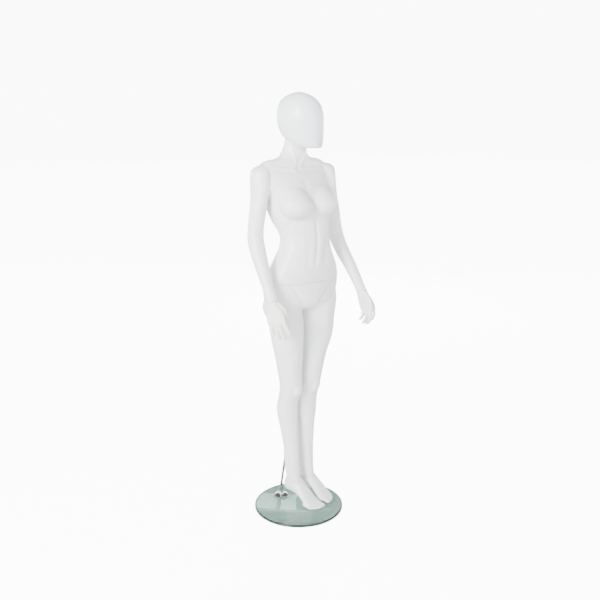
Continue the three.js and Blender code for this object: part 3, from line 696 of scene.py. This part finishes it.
def sculpt_hips(piece):
    """Buttocks, the folds under them, the groin, and the middle line behind."""
    for side in (-1, 1):
        swell(piece, (3 + side * 66, 112, 935), (48, 50, 66), 15, (0, 1, 0))
        middle = 3 + side * 72
        fold = [(-58, 90, 892), (-28, 100, 882), (0, 104, 880), (28, 100, 882), (58, 90, 892)]
        crease(piece, [(middle + x, y, z) for x, y, z in fold], 9, 7, (0, 1, 0.2), 0.3)
    crease(piece, [(4, 110, 1040), (4, 116, 1000), (4, 118, 960), (3, 118, 920), (3, 100, 880)], 9, 13,
           (0, 1, 0), 0.35)
    for side in (-1, 1):
        swell(piece, (4 + side * 30, 98, 1048), (12, 30, 12), -2.2)
    crease(piece, [(-104, -70, 1018), (-80, -90, 990), (-56, -95, 952), (-32, -95, 912), (-18, -80, 894)],
           10, 4.5, (-0.2, -1, 0), 0.3)
    crease(piece, [(110, -70, 1018), (86, -90, 990), (62, -95, 952), (38, -95, 912), (24, -80, 894)],
           10, 4.5, (0.2, -1, 0), 0.3)
    swell(piece, (3, -92, 955), (44, 50, 46), 4.0, (0, -1, 0))
    swell(piece, (5, -108, 1050), (70, 40, 46), 4.0, (0, -1, 0))


def sculpt_leg(piece, knee, calf, ankle, toward):
    """Knee, calf, shin, Achilles and ankle details. toward is the way the knee points."""
    knee, calf, ankle, toward = (np.array(v, float) for v in (knee, calf, ankle, toward))
    front = toward / np.linalg.norm(toward)
    side = np.array([-front[1], front[0], 0])
    face = knee + front * 46
    swell(piece, face + [0, 0, 4], (20, 26, 25), 7.0)
    for shift in (-1, 1):
        crease(piece, [face + side * 27 * shift + [0, 0, 34], face + side * 29 * shift,
                       face + side * 22 * shift - [0, 0, 34]], 8, 6.2, front, 0.35)
        crease(piece, [face + side * 12 * shift + [0, 0, 120], face + side * 20 * shift + [0, 0, 60]],
               11, 1.6, front, 0.4)
    crease(piece, [face + side * -20 - [0, 0, 30], face - [0, 0, 36], face + side * 20 - [0, 0, 30]],
           8, 4.0, front, 0.3)
    swell(piece, face - [0, 0, 52], (15, 26, 20), 2.6)
    back = knee - front * 46
    for shift in (-1, 1):
        crease(piece, [back + side * 24 * shift + [0, 0, 60], back + side * 20 * shift,
                       back + side * 16 * shift - [0, 0, 50]], 8, -2.4, -front, 0.35)
    swell(piece, back + [0, 0, -4], (15, 30, 40), -4.5)
    crease(piece, [calf - front * 50 + [0, 0, 60], calf - front * 52, calf - front * 46 - [0, 0, 74]],
           7, 2.0, -front, 0.3)
    swell(piece, calf - front * 44 + side * 20 - [0, 0, 6], (22, 34, 60), 3.0)
    swell(piece, calf - front * 44 - side * 20 + [0, 0, 2], (22, 34, 60), 3.0)
    for shift, height in ((-1, -6), (1, 5)):
        swell(piece, ankle + side * 31 * shift + [0, 0, height], (13, 13, 14), 4.6)
        swell(piece, ankle + side * 24 * shift - front * 22 + [0, 0, 14], (12, 14, 34), -4.2)
    crease(piece, [calf + front * 34 + [0, 0, 60], (calf + ankle) / 2 + front * 34,
                   ankle + front * 40 + [0, 0, 60]], 9, -1.6, front, 0.3)


def sculpt_foot(piece, heel, yaw, inwards):
    """The arch, the ball, tendons and toenails."""
    start, way, inner = foot_lines(heel, yaw, inwards)
    for shift, tip, half, rise in TOES:
        joint = start + way * (tip - 40) + inner * shift
        top = start + way * 96 + inner * (shift * 0.35)
        crease(piece, [top + [0, 0, 92], (top + joint) / 2 + [0, 0, 60], joint + [0, 0, 36]], 4.5, -1.2,
               (0, -0.3, 1), 0.3)
        nail = start + way * (tip - 9) + inner * shift + [0, 0, SOLE + rise * 2]
        swell(piece, nail, (half * 0.5, half * 0.5, 6), -0.7)
    swell(piece, start + way * 84 + inner * 30 + [0, 0, 46], (20, 30, 16), -5.0)
    swell(piece, start + way * 150 + inner * 36 + [0, 0, 27], (13, 15, 12), 3.0)
    swell(piece, start + way * 142 - inner * 35 + [0, 0, 26], (12, 14, 11), 2.0)


SKIN_VOXEL = 2.8


def leg_casting(name, rows, foot, longer, hip, passes, instep, *leg):
    """Hips, a leg and its foot as one sculpted skin, rounded along the joint lines."""
    hips = grown_form(level(TRUNK[:10]), around=64)
    piece = fuse([hips, grown_form(level(rows)), *foot_forms(*foot, longer)], name, SKIN_VOXEL)
    soften(piece, passes, hip, (110, 150, 46))
    soften(piece, 14, instep, (60, 60, 34))
    sculpt_hips(piece)
    sculpt_leg(piece, *leg)
    sculpt_foot(piece, *foot)
    ring_valley(piece, (0, 0, HIP_SEAM), (0, 0, 1))
    ring_valley(piece, HIP_AT, HIP_AXIS, near=lambda c: c[:, 0] > CROTCH_X)
    return piece


lower_body = leg_casting("hips_and_right_leg", RIGHT_LEG, RIGHT_FOOT, 9, (-84, -10, 915), 40, (5, 50, 108),
                         (-36, 12, 545), (-30, 34, 430), (3, 52, 96), (0.24, -1, 0))
ring_valley(lower_body, (CROTCH_X, 0, 0), (1, 0, 0), near=lambda c: c[:, 2] > 880)
cut(lower_body, beyond_cutter((0, 0, HIP_SEAM - SEAM_GAP), (0, 0, 1)))


def leg_side(gap, lowest):
    """The space of the left leg: beyond the slanting hip face, left of the crotch and above a height."""
    space = beyond_cutter(stepped(HIP_AT, HIP_AXIS, gap), HIP_AXIS, 1400, 2600)
    cut(space, beyond_cutter((CROTCH_X + gap, 0, 900), (1, 0, 0), 1400, 4000), keep_inside=True)
    cut(space, beyond_cutter((0, 0, lowest), (0, 0, 1), 1400, 4000), keep_inside=True)
    return space


CROTCH_BELOW = 868
cut(lower_body, leg_side(-SEAM_GAP, CROTCH_BELOW))
fitting_room(lower_body, WAIST_AT, (0, 0, -1), 14, 45.5)
cut(lower_body, bar_cutter(31.5, PLATE_TOP, 12, HIP_AT, [-v for v in HIP_AXIS]))
cut(lower_body, bar_cutter(*POST_HOLE, HIP_AT, (-1, 0, 0), 32))
CALF_HOLE_Z = 206
calf_entry = (CALF_HOLE_Z - ROD_BEND_Z / MM) / math.cos(ROD_LEAN)
cut(lower_body, bar_cutter(7.5, calf_entry - 40, calf_entry + 123, tuple(rod_bend / MM), tuple(rod_way), 32))
finish_shell(lower_body, body_white, "body_white", "lower_body", "lower_body_shell")


# ---- left leg
# The left leg lifts off, so that trousers can be put on. It is moulded like the rest, and a steel post in
# its slanting joint face slides into the hips.
LEFT_LEG = [
    [960, 100, -10, 70, 54, 64], [930, 98, -8, 74, 68, 88], [895, 90, -8, 78, 74, 96],
    [845, 84, -9, 75, 73, 84], [790, 81, -10, 72, 72, 76], [746, 78, -10, 64, 66, 68],
    [692, 70, -4, 56, 60, 60], [625, 65, 2, 50, 54, 54], [575, 62, 9, 47.5, 51, 48],
    [538, 60, 18, 47.5, 53, 44], [504, 60, 24, 46, 44, 46], [470, 62, 27, 45, 35, 54],
    [422, 64, 31, 43, 34, 57], [359, 66, 37, 37, 32, 50], [300, 70, 43, 33, 31, 43],
    [250, 73, 49, 31, 34, 37], [206, 75, 54, 31, 36, 34], [150, 79, 57, 30, 38, 34],
    [110, 84, 58, 27, 40, 32], [84, 88, 54, 22, 34, 28],
]
LEFT_FOOT = (69, 110), 17, -1
left_leg = leg_casting("left_leg", LEFT_LEG, LEFT_FOOT, 0, (90, -10, 915), 24, (80, 60, 108),
                       (57, 18, 545), (63, 35, 430), (86, 66, 96), (0.29, -1, 0))
cut(left_leg, beyond_cutter((0, 0, HIP_SEAM - SEAM_GAP), (0, 0, 1)))
cut(left_leg, leg_side(SEAM_GAP, -50), keep_inside=True)
cut(left_leg, bar_cutter(29.5, PLATE_TOP, 12, HIP_AT, HIP_AXIS))
cut(left_leg, bar_cutter(*POST_HOLE, HIP_AT, (-1, 0, 0), 32))
finish_shell(left_leg, body_white, "body_white", "left_leg", "left_leg_shell")


# ---- torso
# The chest, belly and neck are one hollow moulding. It stands on the hips, and has joint faces for the
# head and for both arms.
CHEST_X, SHOULDER_REACH, SHOULDER_Z = -12, 141, 1408
JAW_AT = (2, 22, 1546)
JAW_AXIS = (0, -math.sin(math.radians(19)), math.cos(math.radians(19)))
RIGHT_ARM = [
    [1452, -166, 14, 5, 8, 8], [1448, -166, 14, 22, 24, 26], [1437, -168, 13, 34, 38, 42],
    [1405, -169, 11, 37, 45, 48], [1355, -174, 9, 33, 42, 42], [1300, -181, 10, 31.5, 37, 38],
    [1250, -188, 13, 31, 34, 35], [1205, -193, 13, 31, 33, 34], [1165, -196, 2, 31, 33, 34],
    [1115, -197, -22, 29, 32, 33], [1065, -196, -47, 26, 29, 30], [1010, -194, -75, 23, 26, 26],
    [965, -192, -97, 21, 24, 24], [920, -190, -119, 20, 24, 24],
]
LEFT_ARM = [
    [1458, 138, 14, 5, 8, 8], [1454, 138, 14, 22, 24, 26], [1440, 142, 13, 33, 38, 42],
    [1405, 144, 11, 35, 45, 48], [1355, 151, 9, 33, 42, 42], [1300, 163, 8, 31.5, 37, 38],
    [1240, 176, 8, 31, 34, 35], [1180, 190, 5, 31, 33, 34], [1140, 198, -6, 31, 33, 34],
    [1090, 211, -32, 29, 32, 33], [1040, 223, -60, 26, 29, 30], [985, 234, -89, 23, 26, 26],
    [945, 241, -110, 21, 24, 24], [905, 247, -130, 20, 24, 24],
]


def shoulder_at(side):
    return (CHEST_X + side * SHOULDER_REACH, 11, SHOULDER_Z)


def breast_forms():
    """Two round forms that stand out from the chest wall."""
    forms = []
    for side in (-1, 1):
        start_piece()
        bpy.ops.mesh.primitive_uv_sphere_add(segments=48, ring_count=32, radius=1)
        form = bpy.context.object
        ball = corners_of(form) * MM
        above = np.clip(ball[:, 2:3], 0, 1)
        ball = ball * np.array([66, 64, 56]) + above**1.3 * np.array([0, 26, 20])
        move_corners(form, ball + np.array([2 + side * 64, -70 if side < 0 else -62, 1312]))
        forms.append(form)
    return forms


def sculpt_chest(piece):
    """Shoulders, collar bones, neck cords, ribs, belly line, navel, spine and shoulder blades."""
    swell(piece, (-150, 20, 1456), (50, 48, 34), 13, (0, 0, 1))
    swell(piece, (-112, 24, 1464), (26, 40, 26), 3, (0, 0, 1))
    swell(piece, (112, 22, 1462), (44, 46, 30), 11, (0, 0, 1))
    swell(piece, (164, 16, 1446), (26, 42, 24), 7, (0.5, 0, 0.86))
    for side in (-1, 1):
        soften(piece, 60, shoulder_at(side), (30, 60, 56))
    for side, outer in ((-1, -128), (1, 104)):
        collar = np.array([(-18 + side * 10, -40, 1446), (-18 + side * 50, -34, 1453), (outer, -20, 1459)])
        crease(piece, collar, 6.5, -6.4, (0, -1, 0.35), 0.22)
        crease(piece, collar + [0, 0, 17], 10, 7.0, (0, -0.8, 0.6))
        crease(piece, collar - [0, 0, 15], 9, 3.6, (0, -1, 0))
        crease(piece, [(-16 + side * 9, -30, 1452), (side * 24, -20, 1490), (side * 40, 0, 1534)], 6, -3.0,
               (side * 0.35, -1, 0.2))
        swell(piece, (-14 + side * 46, 100, 1345), (30, 40, 52), 5.0)
        crease(piece, [(side * 28 - 8, 96, 1395), (side * 26 - 6, 96, 1345), (side * 42 - 4, 94, 1295)],
               10, 2.6, (0, 1, 0), 0.3)
        crease(piece, [(side * 62, -60, 1262), (side * 84, -50, 1236), (side * 100, -20, 1214)], 12, 3.6,
               (side * 0.5, -1, 0), 0.35)
        crease(piece, [(20 + side * 44, -86, 1190), (14 + side * 42, -96, 1130), (8 + side * 40, -100, 1060)],
               14, 3.4, (0, -1, 0), 0.35)
    swell(piece, (-17, -30, 1452), (9, 20, 11), -5.5)
    crease(piece, [(14, -60, 1276), (17, -84, 1235), (16, -96, 1180), (10, -104, 1120), (5, -108, 1090)],
           8.5, 5.0, (0, -1, 0), 0.2)
    crease(piece, [(-14, -50, 1426), (-8, -62, 1370), (-2, -70, 1320)], 12, 3.0, (0, -1, 0), 0.3)
    swell(piece, (4, -114, 1088), (7, 20, 9), -5.0, (0, -1, 0))
    spine = [(0, 88, 1480), (-6, 96, 1400), (-2, 86, 1300), (6, 50, 1200), (7, 66, 1110), (5, 92, 1040)]
    crease(piece, spine, 10, 4.4, (0, 1, 0), 0.2)


chest = grown_form(level(TRUNK[2:]), around=72)
arm_roots = [grown_form(level(rows[:7]), around=36) for rows in (RIGHT_ARM, LEFT_ARM)]
torso = fuse([chest, *arm_roots, *breast_forms()], "torso", SKIN_VOXEL)
soften(torso, 12, (-2, -70, 1385), (110, 60, 30))
sculpt_chest(torso)
ring_valley(torso, (0, 0, HIP_SEAM), (0, 0, 1))
ring_valley(torso, JAW_AT, JAW_AXIS)
for side in (-1, 1):
    ring_valley(torso, shoulder_at(side), (1, 0, 0), depth=0.5, near=lambda c: c[:, 2] > 1200)
cut(torso, beyond_cutter((0, 0, HIP_SEAM + SEAM_GAP), (0, 0, -1)))
cut(torso, beyond_cutter(stepped(JAW_AT, JAW_AXIS, -SEAM_GAP), JAW_AXIS, 400))
for side in (-1, 1):
    face = Vector(shoulder_at(side))
    cut(torso, beyond_cutter(face - Vector((side * SEAM_GAP, 0, 0)), (side, 0, 0), 400, 420))
    fitting_room(torso, face, (-side, 0, 0), 9, 18.5)
fitting_room(torso, WAIST_AT, (0, 0, 1), 14, 45.5)
fitting_room(torso, JAW_AT, [-v for v in JAW_AXIS], 8, 19.5)
finish_shell(torso, body_white, "body_white", "torso", "torso_shell")


# ---- head
# A faceless egg head, rotationally moulded, in the body's white with a cool tint that is painted cool
# light. Its jaw is the moving side of the neck joint.
HEAD_AT, HEAD_YAW = (5, -4), 27
HEAD = [
    [1516, 0, -50, 14, 20, 30, 2.4], [1526, 0, -54, 25, 31, 38, 2.6], [1530, 0, -44, 35, 45, 45, 2.5],
    [1545, 0, -31, 48, 61, 58, 2.3], [1562, 0, -16, 59, 78, 74, 2.2], [1585, 0, -6, 67, 89, 84, 2.1],
    [1618, 0, 0, 73, 95, 91, 2.1], [1650, 0, 0, 75, 94, 94, 2.1], [1682, 0, 1, 71, 86, 89, 2.0],
    [1706, 0, 2, 59, 69, 75, 2.0], [1723, 0, 3, 39, 46, 51, 2.0], [1732, 0, 4, 20, 23, 26, 2.0],
    [1735, 0, 4, 8, 9, 10, 2.0], [1735.5, 0, 4, 1, 1, 1, 2.0],
]
# The cool blue tint of this white is painted cool light on the head, not a colour of its own.
head_white = satin_white("satin_white_head_painted_cool_light", (0.74, 0.775, 0.80), 0.965, 0.32)
skull = grown_form(level(HEAD[1:]), around=64, between=4)
skull.data.transform(Matrix.Translation((HEAD_AT[0] * MM, HEAD_AT[1] * MM, 0)) @ Matrix.Rotation(
    math.radians(HEAD_YAW), 4, "Z"))
head = fuse([skull, grown_form(level(TRUNK[20:]), around=64)], "egg_head", 1.7, 20)
soften(head, 60, (-14, 66, 1566), (50, 30, 22))
cut(head, beyond_cutter(stepped(JAW_AT, JAW_AXIS, SEAM_GAP), [-v for v in JAW_AXIS], 400))
fitting_room(head, JAW_AT, JAW_AXIS, 8, 19.5)
finish_shell(head, head_white, "head_white", "head", "head_shell")


# ---- arms
# Each arm is one slim moulding from the cap of the shoulder to the wrist, bent a little at the elbow.
# It turns on its shoulder joint and carries the joint face of the hand.
WRISTS = {
    "right": {"at": (-192, -100, 958), "down": (14, -34, -146), "thumb": (0.5, -0.87, 0), "side": 1},
    "left": {"at": (240, -108, 950), "down": (30, -36, -118), "thumb": (0.2, -0.98, 0), "side": -1},
}


def sculpt_arm(piece, rows, side):
    """The deltoid, the bend of the elbow and its bone, and the swells of the upper arm and forearm."""
    elbow = np.array([rows[7][1] + 0.0, rows[7][2], rows[7][0]])
    swell(piece, elbow + [0, 33, -6], (15, 16, 17), 4.0)
    for shift in (-1, 1):
        swell(piece, elbow + [shift * 19, 27, -2], (9, 14, 24), -2.6)
    crease(piece, [elbow + [-24, -26, 10], elbow + [0, -34, 3], elbow + [24, -26, 10]], 8, 2.6,
           (0, -1, 0), 0.3)
    swell(piece, elbow + [side * 8, -26, -52], (24, 24, 50), 3.2)
    swell(piece, elbow + [0, -26, 96], (20, 24, 50), 2.6)
    crease(piece, [elbow + [side * 34, -4, 176], elbow + [side * 32, 6, 140]], 10, 2.4, (side, 0, 0), 0.4)


for name, rows, side in (("right", RIGHT_ARM, -1), ("left", LEFT_ARM, 1)):
    wrist = WRISTS[name]
    arm = fuse([grown_form(level(TRUNK[10:]), around=72), grown_form(level(rows), around=36)],
               f"{name}_arm", SKIN_VOXEL)
    sculpt_chest(arm)
    sculpt_arm(arm, rows, side)
    face = Vector(shoulder_at(side))
    ring_valley(arm, face, (1, 0, 0), depth=0.5, near=lambda c: c[:, 2] > 1200)
    ring_valley(arm, wrist["at"], wrist["down"], near=lambda c: c[:, 2] < 1000)
    cut(arm, beyond_cutter(face + Vector((side * SEAM_GAP, 0, 0)), (side, 0, 0), 400, 1400), keep_inside=True)
    cut(arm, beyond_cutter(stepped(wrist["at"], wrist["down"], -SEAM_GAP), wrist["down"], 200))
    fitting_room(arm, face, (side, 0, 0), 9, 19.5)
    fitting_room(arm, wrist["at"], [-v for v in wrist["down"]], 6, 14.2)
    finish_shell(arm, body_white, "body_white", f"{name}_arm", f"{name}_arm_shell")


# ---- hands
# The hands are solid castings in the body's white with a warm tint that is painted warm reflected
# light, and with relaxed fingers. Each plugs on to its arm at the wrist.
PALM = [
    [-8, 0, 21.4, 22], [0.5, 0, 21.6, 21.6], [16, 0, 23.6, 19], [34, 0.5, 31, 15.5], [52, 1, 37, 14.2],
    [68, 1, 39.5, 13.2], [82, 0.5, 38.5, 11.6], [90, 0, 35, 8.5], [94, 0, 28, 4],
]
FINGERS = [[78, 28, 70, 9.2], [82, 9.5, 80, 9.2], [80, -9, 75, 8.8], [74, -26.5, 60, 8.2]]
CURL = {"right": [6, 10, 12], "left": [24, 34, 26]}
SPREAD = {"right": [10, 0, -1, -3], "left": [4, 1, -1, -3]}
THUMB = {
    "right": [[4, 12, 3, 12], [16, 20, 6, 13], [40, 32, 16, 11], [56, 34, 20, 8.8], [64, 34, 22, 9.4],
              [78, 31, 23.5, 8.6], [86, 29.5, 24, 6.8], [91, 28.6, 24, 3]],
    "left": [[4, 12, 3, 12], [16, 20, 6, 13], [38, 34, 14, 11], [55, 39, 18, 8.8], [62, 40, 20, 9.4],
             [76, 39.4, 22.5, 8.6], [84, 38.4, 24, 6.8], [89, 38, 24, 3]],
}
# The warm yellowish tint of this white is painted warm reflected light on the hands, not their own colour.
hand_white = satin_white("satin_white_hand_painted_warm_light", (0.79, 0.77, 0.74), 0.95, 0.42)
for name, wrist in WRISTS.items():
    axis = np.array(wrist["down"], float) / np.linalg.norm(wrist["down"])
    thumb = np.array(wrist["thumb"], float)
    width = thumb - axis * (thumb @ axis)
    width /= np.linalg.norm(width)
    palm = np.cross(width, axis) * wrist["side"]
    origin = np.array(wrist["at"], float)

    def spot(t, e, p):
        return origin + axis * t + width * e + palm * p

    forms = [grown_form([(spot(t, e, 0), width * w, -palm * d, palm * d, 2.3) for t, e, w, d in PALM], 40, 3)]
    knuckles = []
    for (t, e, length, radius), spread in zip(FINGERS, SPREAD[name]):
        stations = [(spot(t - 26, e * 0.82, 0.5), width * radius * 0.9, -palm * radius * 0.8,
                     palm * radius * 0.8, 2.0)]
        centre, bend = spot(t, e, 0), 0.0
        lean = math.radians(spread)
        for joint, (curl, share) in enumerate(zip(CURL[name], (0.45, 0.3, 0.25))):
            start_bend = bend
            bend += math.radians(curl)
            knuckles.append((centre.copy(), start_bend, radius))
            for part, thick in ((0.06, 1.05), (0.45, 0.95), (0.8, 0.97)):
                angle = start_bend + (bend - start_bend) * min(1, 0.5 + part)
                way = axis * math.cos(angle) * math.cos(lean) + palm * math.sin(angle)
                way += width * math.sin(lean)
                front = np.cross(way, width)
                front /= np.linalg.norm(front)
                r = radius * (1 - 0.09 * joint) * thick
                if joint == 2 and part > 0.7:
                    r *= 0.84
                stations.append((centre + way * length * share * part, width * r, -front * r * 0.94,
                                 front * r * 0.94, 2.0))
            centre = centre + way * length * share
        for back, size in ((2.2, 0.62), (0.3, 0.24)):
            r = radius * 0.84 * size
            stations.append((centre - way * back, width * r, -front * r, front * r, 2.0))
        forms.append(grown_form(stations, 20, 3))
    forms.append(grown_form([(spot(t, e, p), width * r, -palm * r * 0.86, palm * r * 0.86, 2.0)
                             for t, e, p, r in THUMB[name]], 22, 3))
    hand = fuse(forms, f"{name}_hand_casting", 1.15, 7)
    back = -palm
    soften(hand, 30, spot(36, 14, 8), (22, 22, 22))
    for centre, bend, radius in knuckles:
        if bend < 0.01:
            swell(hand, centre + back * 10, (7, 7, 8), 1.8)
        else:
            out = back * math.cos(bend) + axis * math.sin(bend)
            swell(hand, centre + out * radius * 0.8, (5.5, 5.5, 5.5), 0.8)
    for t, e, length, radius in FINGERS:
        crease(hand, [spot(26, e * 0.3, -16), spot(t - 8, e * 0.92, -13)], 3.2, -0.9, back, 0.25)
    cut(hand, beyond_cutter(stepped(wrist["at"], wrist["down"], SEAM_GAP), [-v for v in axis], 60))
    cut(hand, bar_cutter(11.4, -2, 9, wrist["at"], axis))
    finish_shell(hand, hand_white, "hand_white", f"{name}_hand", f"{name}_hand")


# ---- floor, light and camera
# A pale studio floor, lit from within like a light table, under a pale sky, and large soft lights that
# model the figure from the front left, the front, above and behind.
FLOOR_REACH = 60
start_piece()
bpy.ops.mesh.primitive_plane_add(size=FLOOR_REACH)
floor = name_piece("studio_floor")


def pale_backdrop(name, glow):
    finish, shader, *_ = parts = nodes_of(name)
    mottle(parts, (0.70, 0.71, 0.715), (0.72, 0.73, 0.735), Scale=0.7, Detail=2.0)
    shader.inputs["Roughness"].default_value = 0.8
    shader.inputs["Specular IOR Level"].default_value = 0.0
    shader.inputs["Emission Color"].default_value = (1, 1, 1, 1)
    shader.inputs["Emission Strength"].default_value = glow
    return finish


BRIGHT = 10.5
floor.data.materials.append(pale_backdrop("pale_studio_floor", BRIGHT))
lit_by_floor = bpy.data.collections.new("lit_by_floor")
lit_by_floor.objects.link(floor)
floor.light_linking.receiver_collection = lit_by_floor

world = bpy.data.worlds.new("studio")
world.use_nodes = True
sky = world.node_tree
way = add_node(sky.nodes, "ShaderNodeTexCoord")
height = add_node(sky.nodes, "ShaderNodeSeparateXYZ")
ramp = add_node(sky.nodes, "ShaderNodeMapRange", From_Min=0.16, From_Max=0.21, To_Min=BRIGHT, To_Max=0.25)
sky.links.new(way.outputs["Generated"], height.inputs[0])
sky.links.new(height.outputs["Z"], ramp.inputs["Value"])
sky.links.new(ramp.outputs["Result"], sky.nodes["Background"].inputs["Strength"])
sky.nodes["Background"].inputs["Color"].default_value = (0.985, 0.99, 1.0, 1)
bpy.context.scene.world = world


def soft_light(name, place, target, size, power_watts, colour, mirrored=True):
    start_piece()
    bpy.ops.object.light_add(type="AREA", location=place)
    light = bpy.context.object
    light.name = name
    light.data.shape = "RECTANGLE"
    light.data.size, light.data.size_y = size
    light.data.energy = power_watts
    light.data.color = colour
    light.visible_glossy = mirrored
    light.rotation_euler = (Vector(target) - Vector(place)).to_track_quat("-Z", "Y").to_euler()


FIGURE_MIDDLE = (0, 0, 1.0)
soft_light("key_left", (-4.2, -1.6, 2.8), FIGURE_MIDDLE, (1.5, 2.6), 700, (1, 0.995, 0.985))
soft_light("fill_front", (1.6, -4.8, 1.8), FIGURE_MIDDLE, (2.2, 3.0), 70, (0.97, 0.985, 1))
soft_light("top", (0.2, 0.4, 5.0), FIGURE_MIDDLE, (2.4, 2.4), 110, (1, 1, 1), mirrored=False)
soft_light("back", (3.4, 3.4, 2.6), FIGURE_MIDDLE, (2.2, 2.6), 200, (0.98, 0.99, 1), mirrored=False)

bpy.ops.object.camera_add(
    location=(-1.6585, -2.3790, 1.60), rotation=(math.radians(76.8), 0, math.radians(-35)))
camera = bpy.context.object
camera.data.lens = 43.92
camera.data.sensor_width = 36
bpy.context.scene.camera = camera
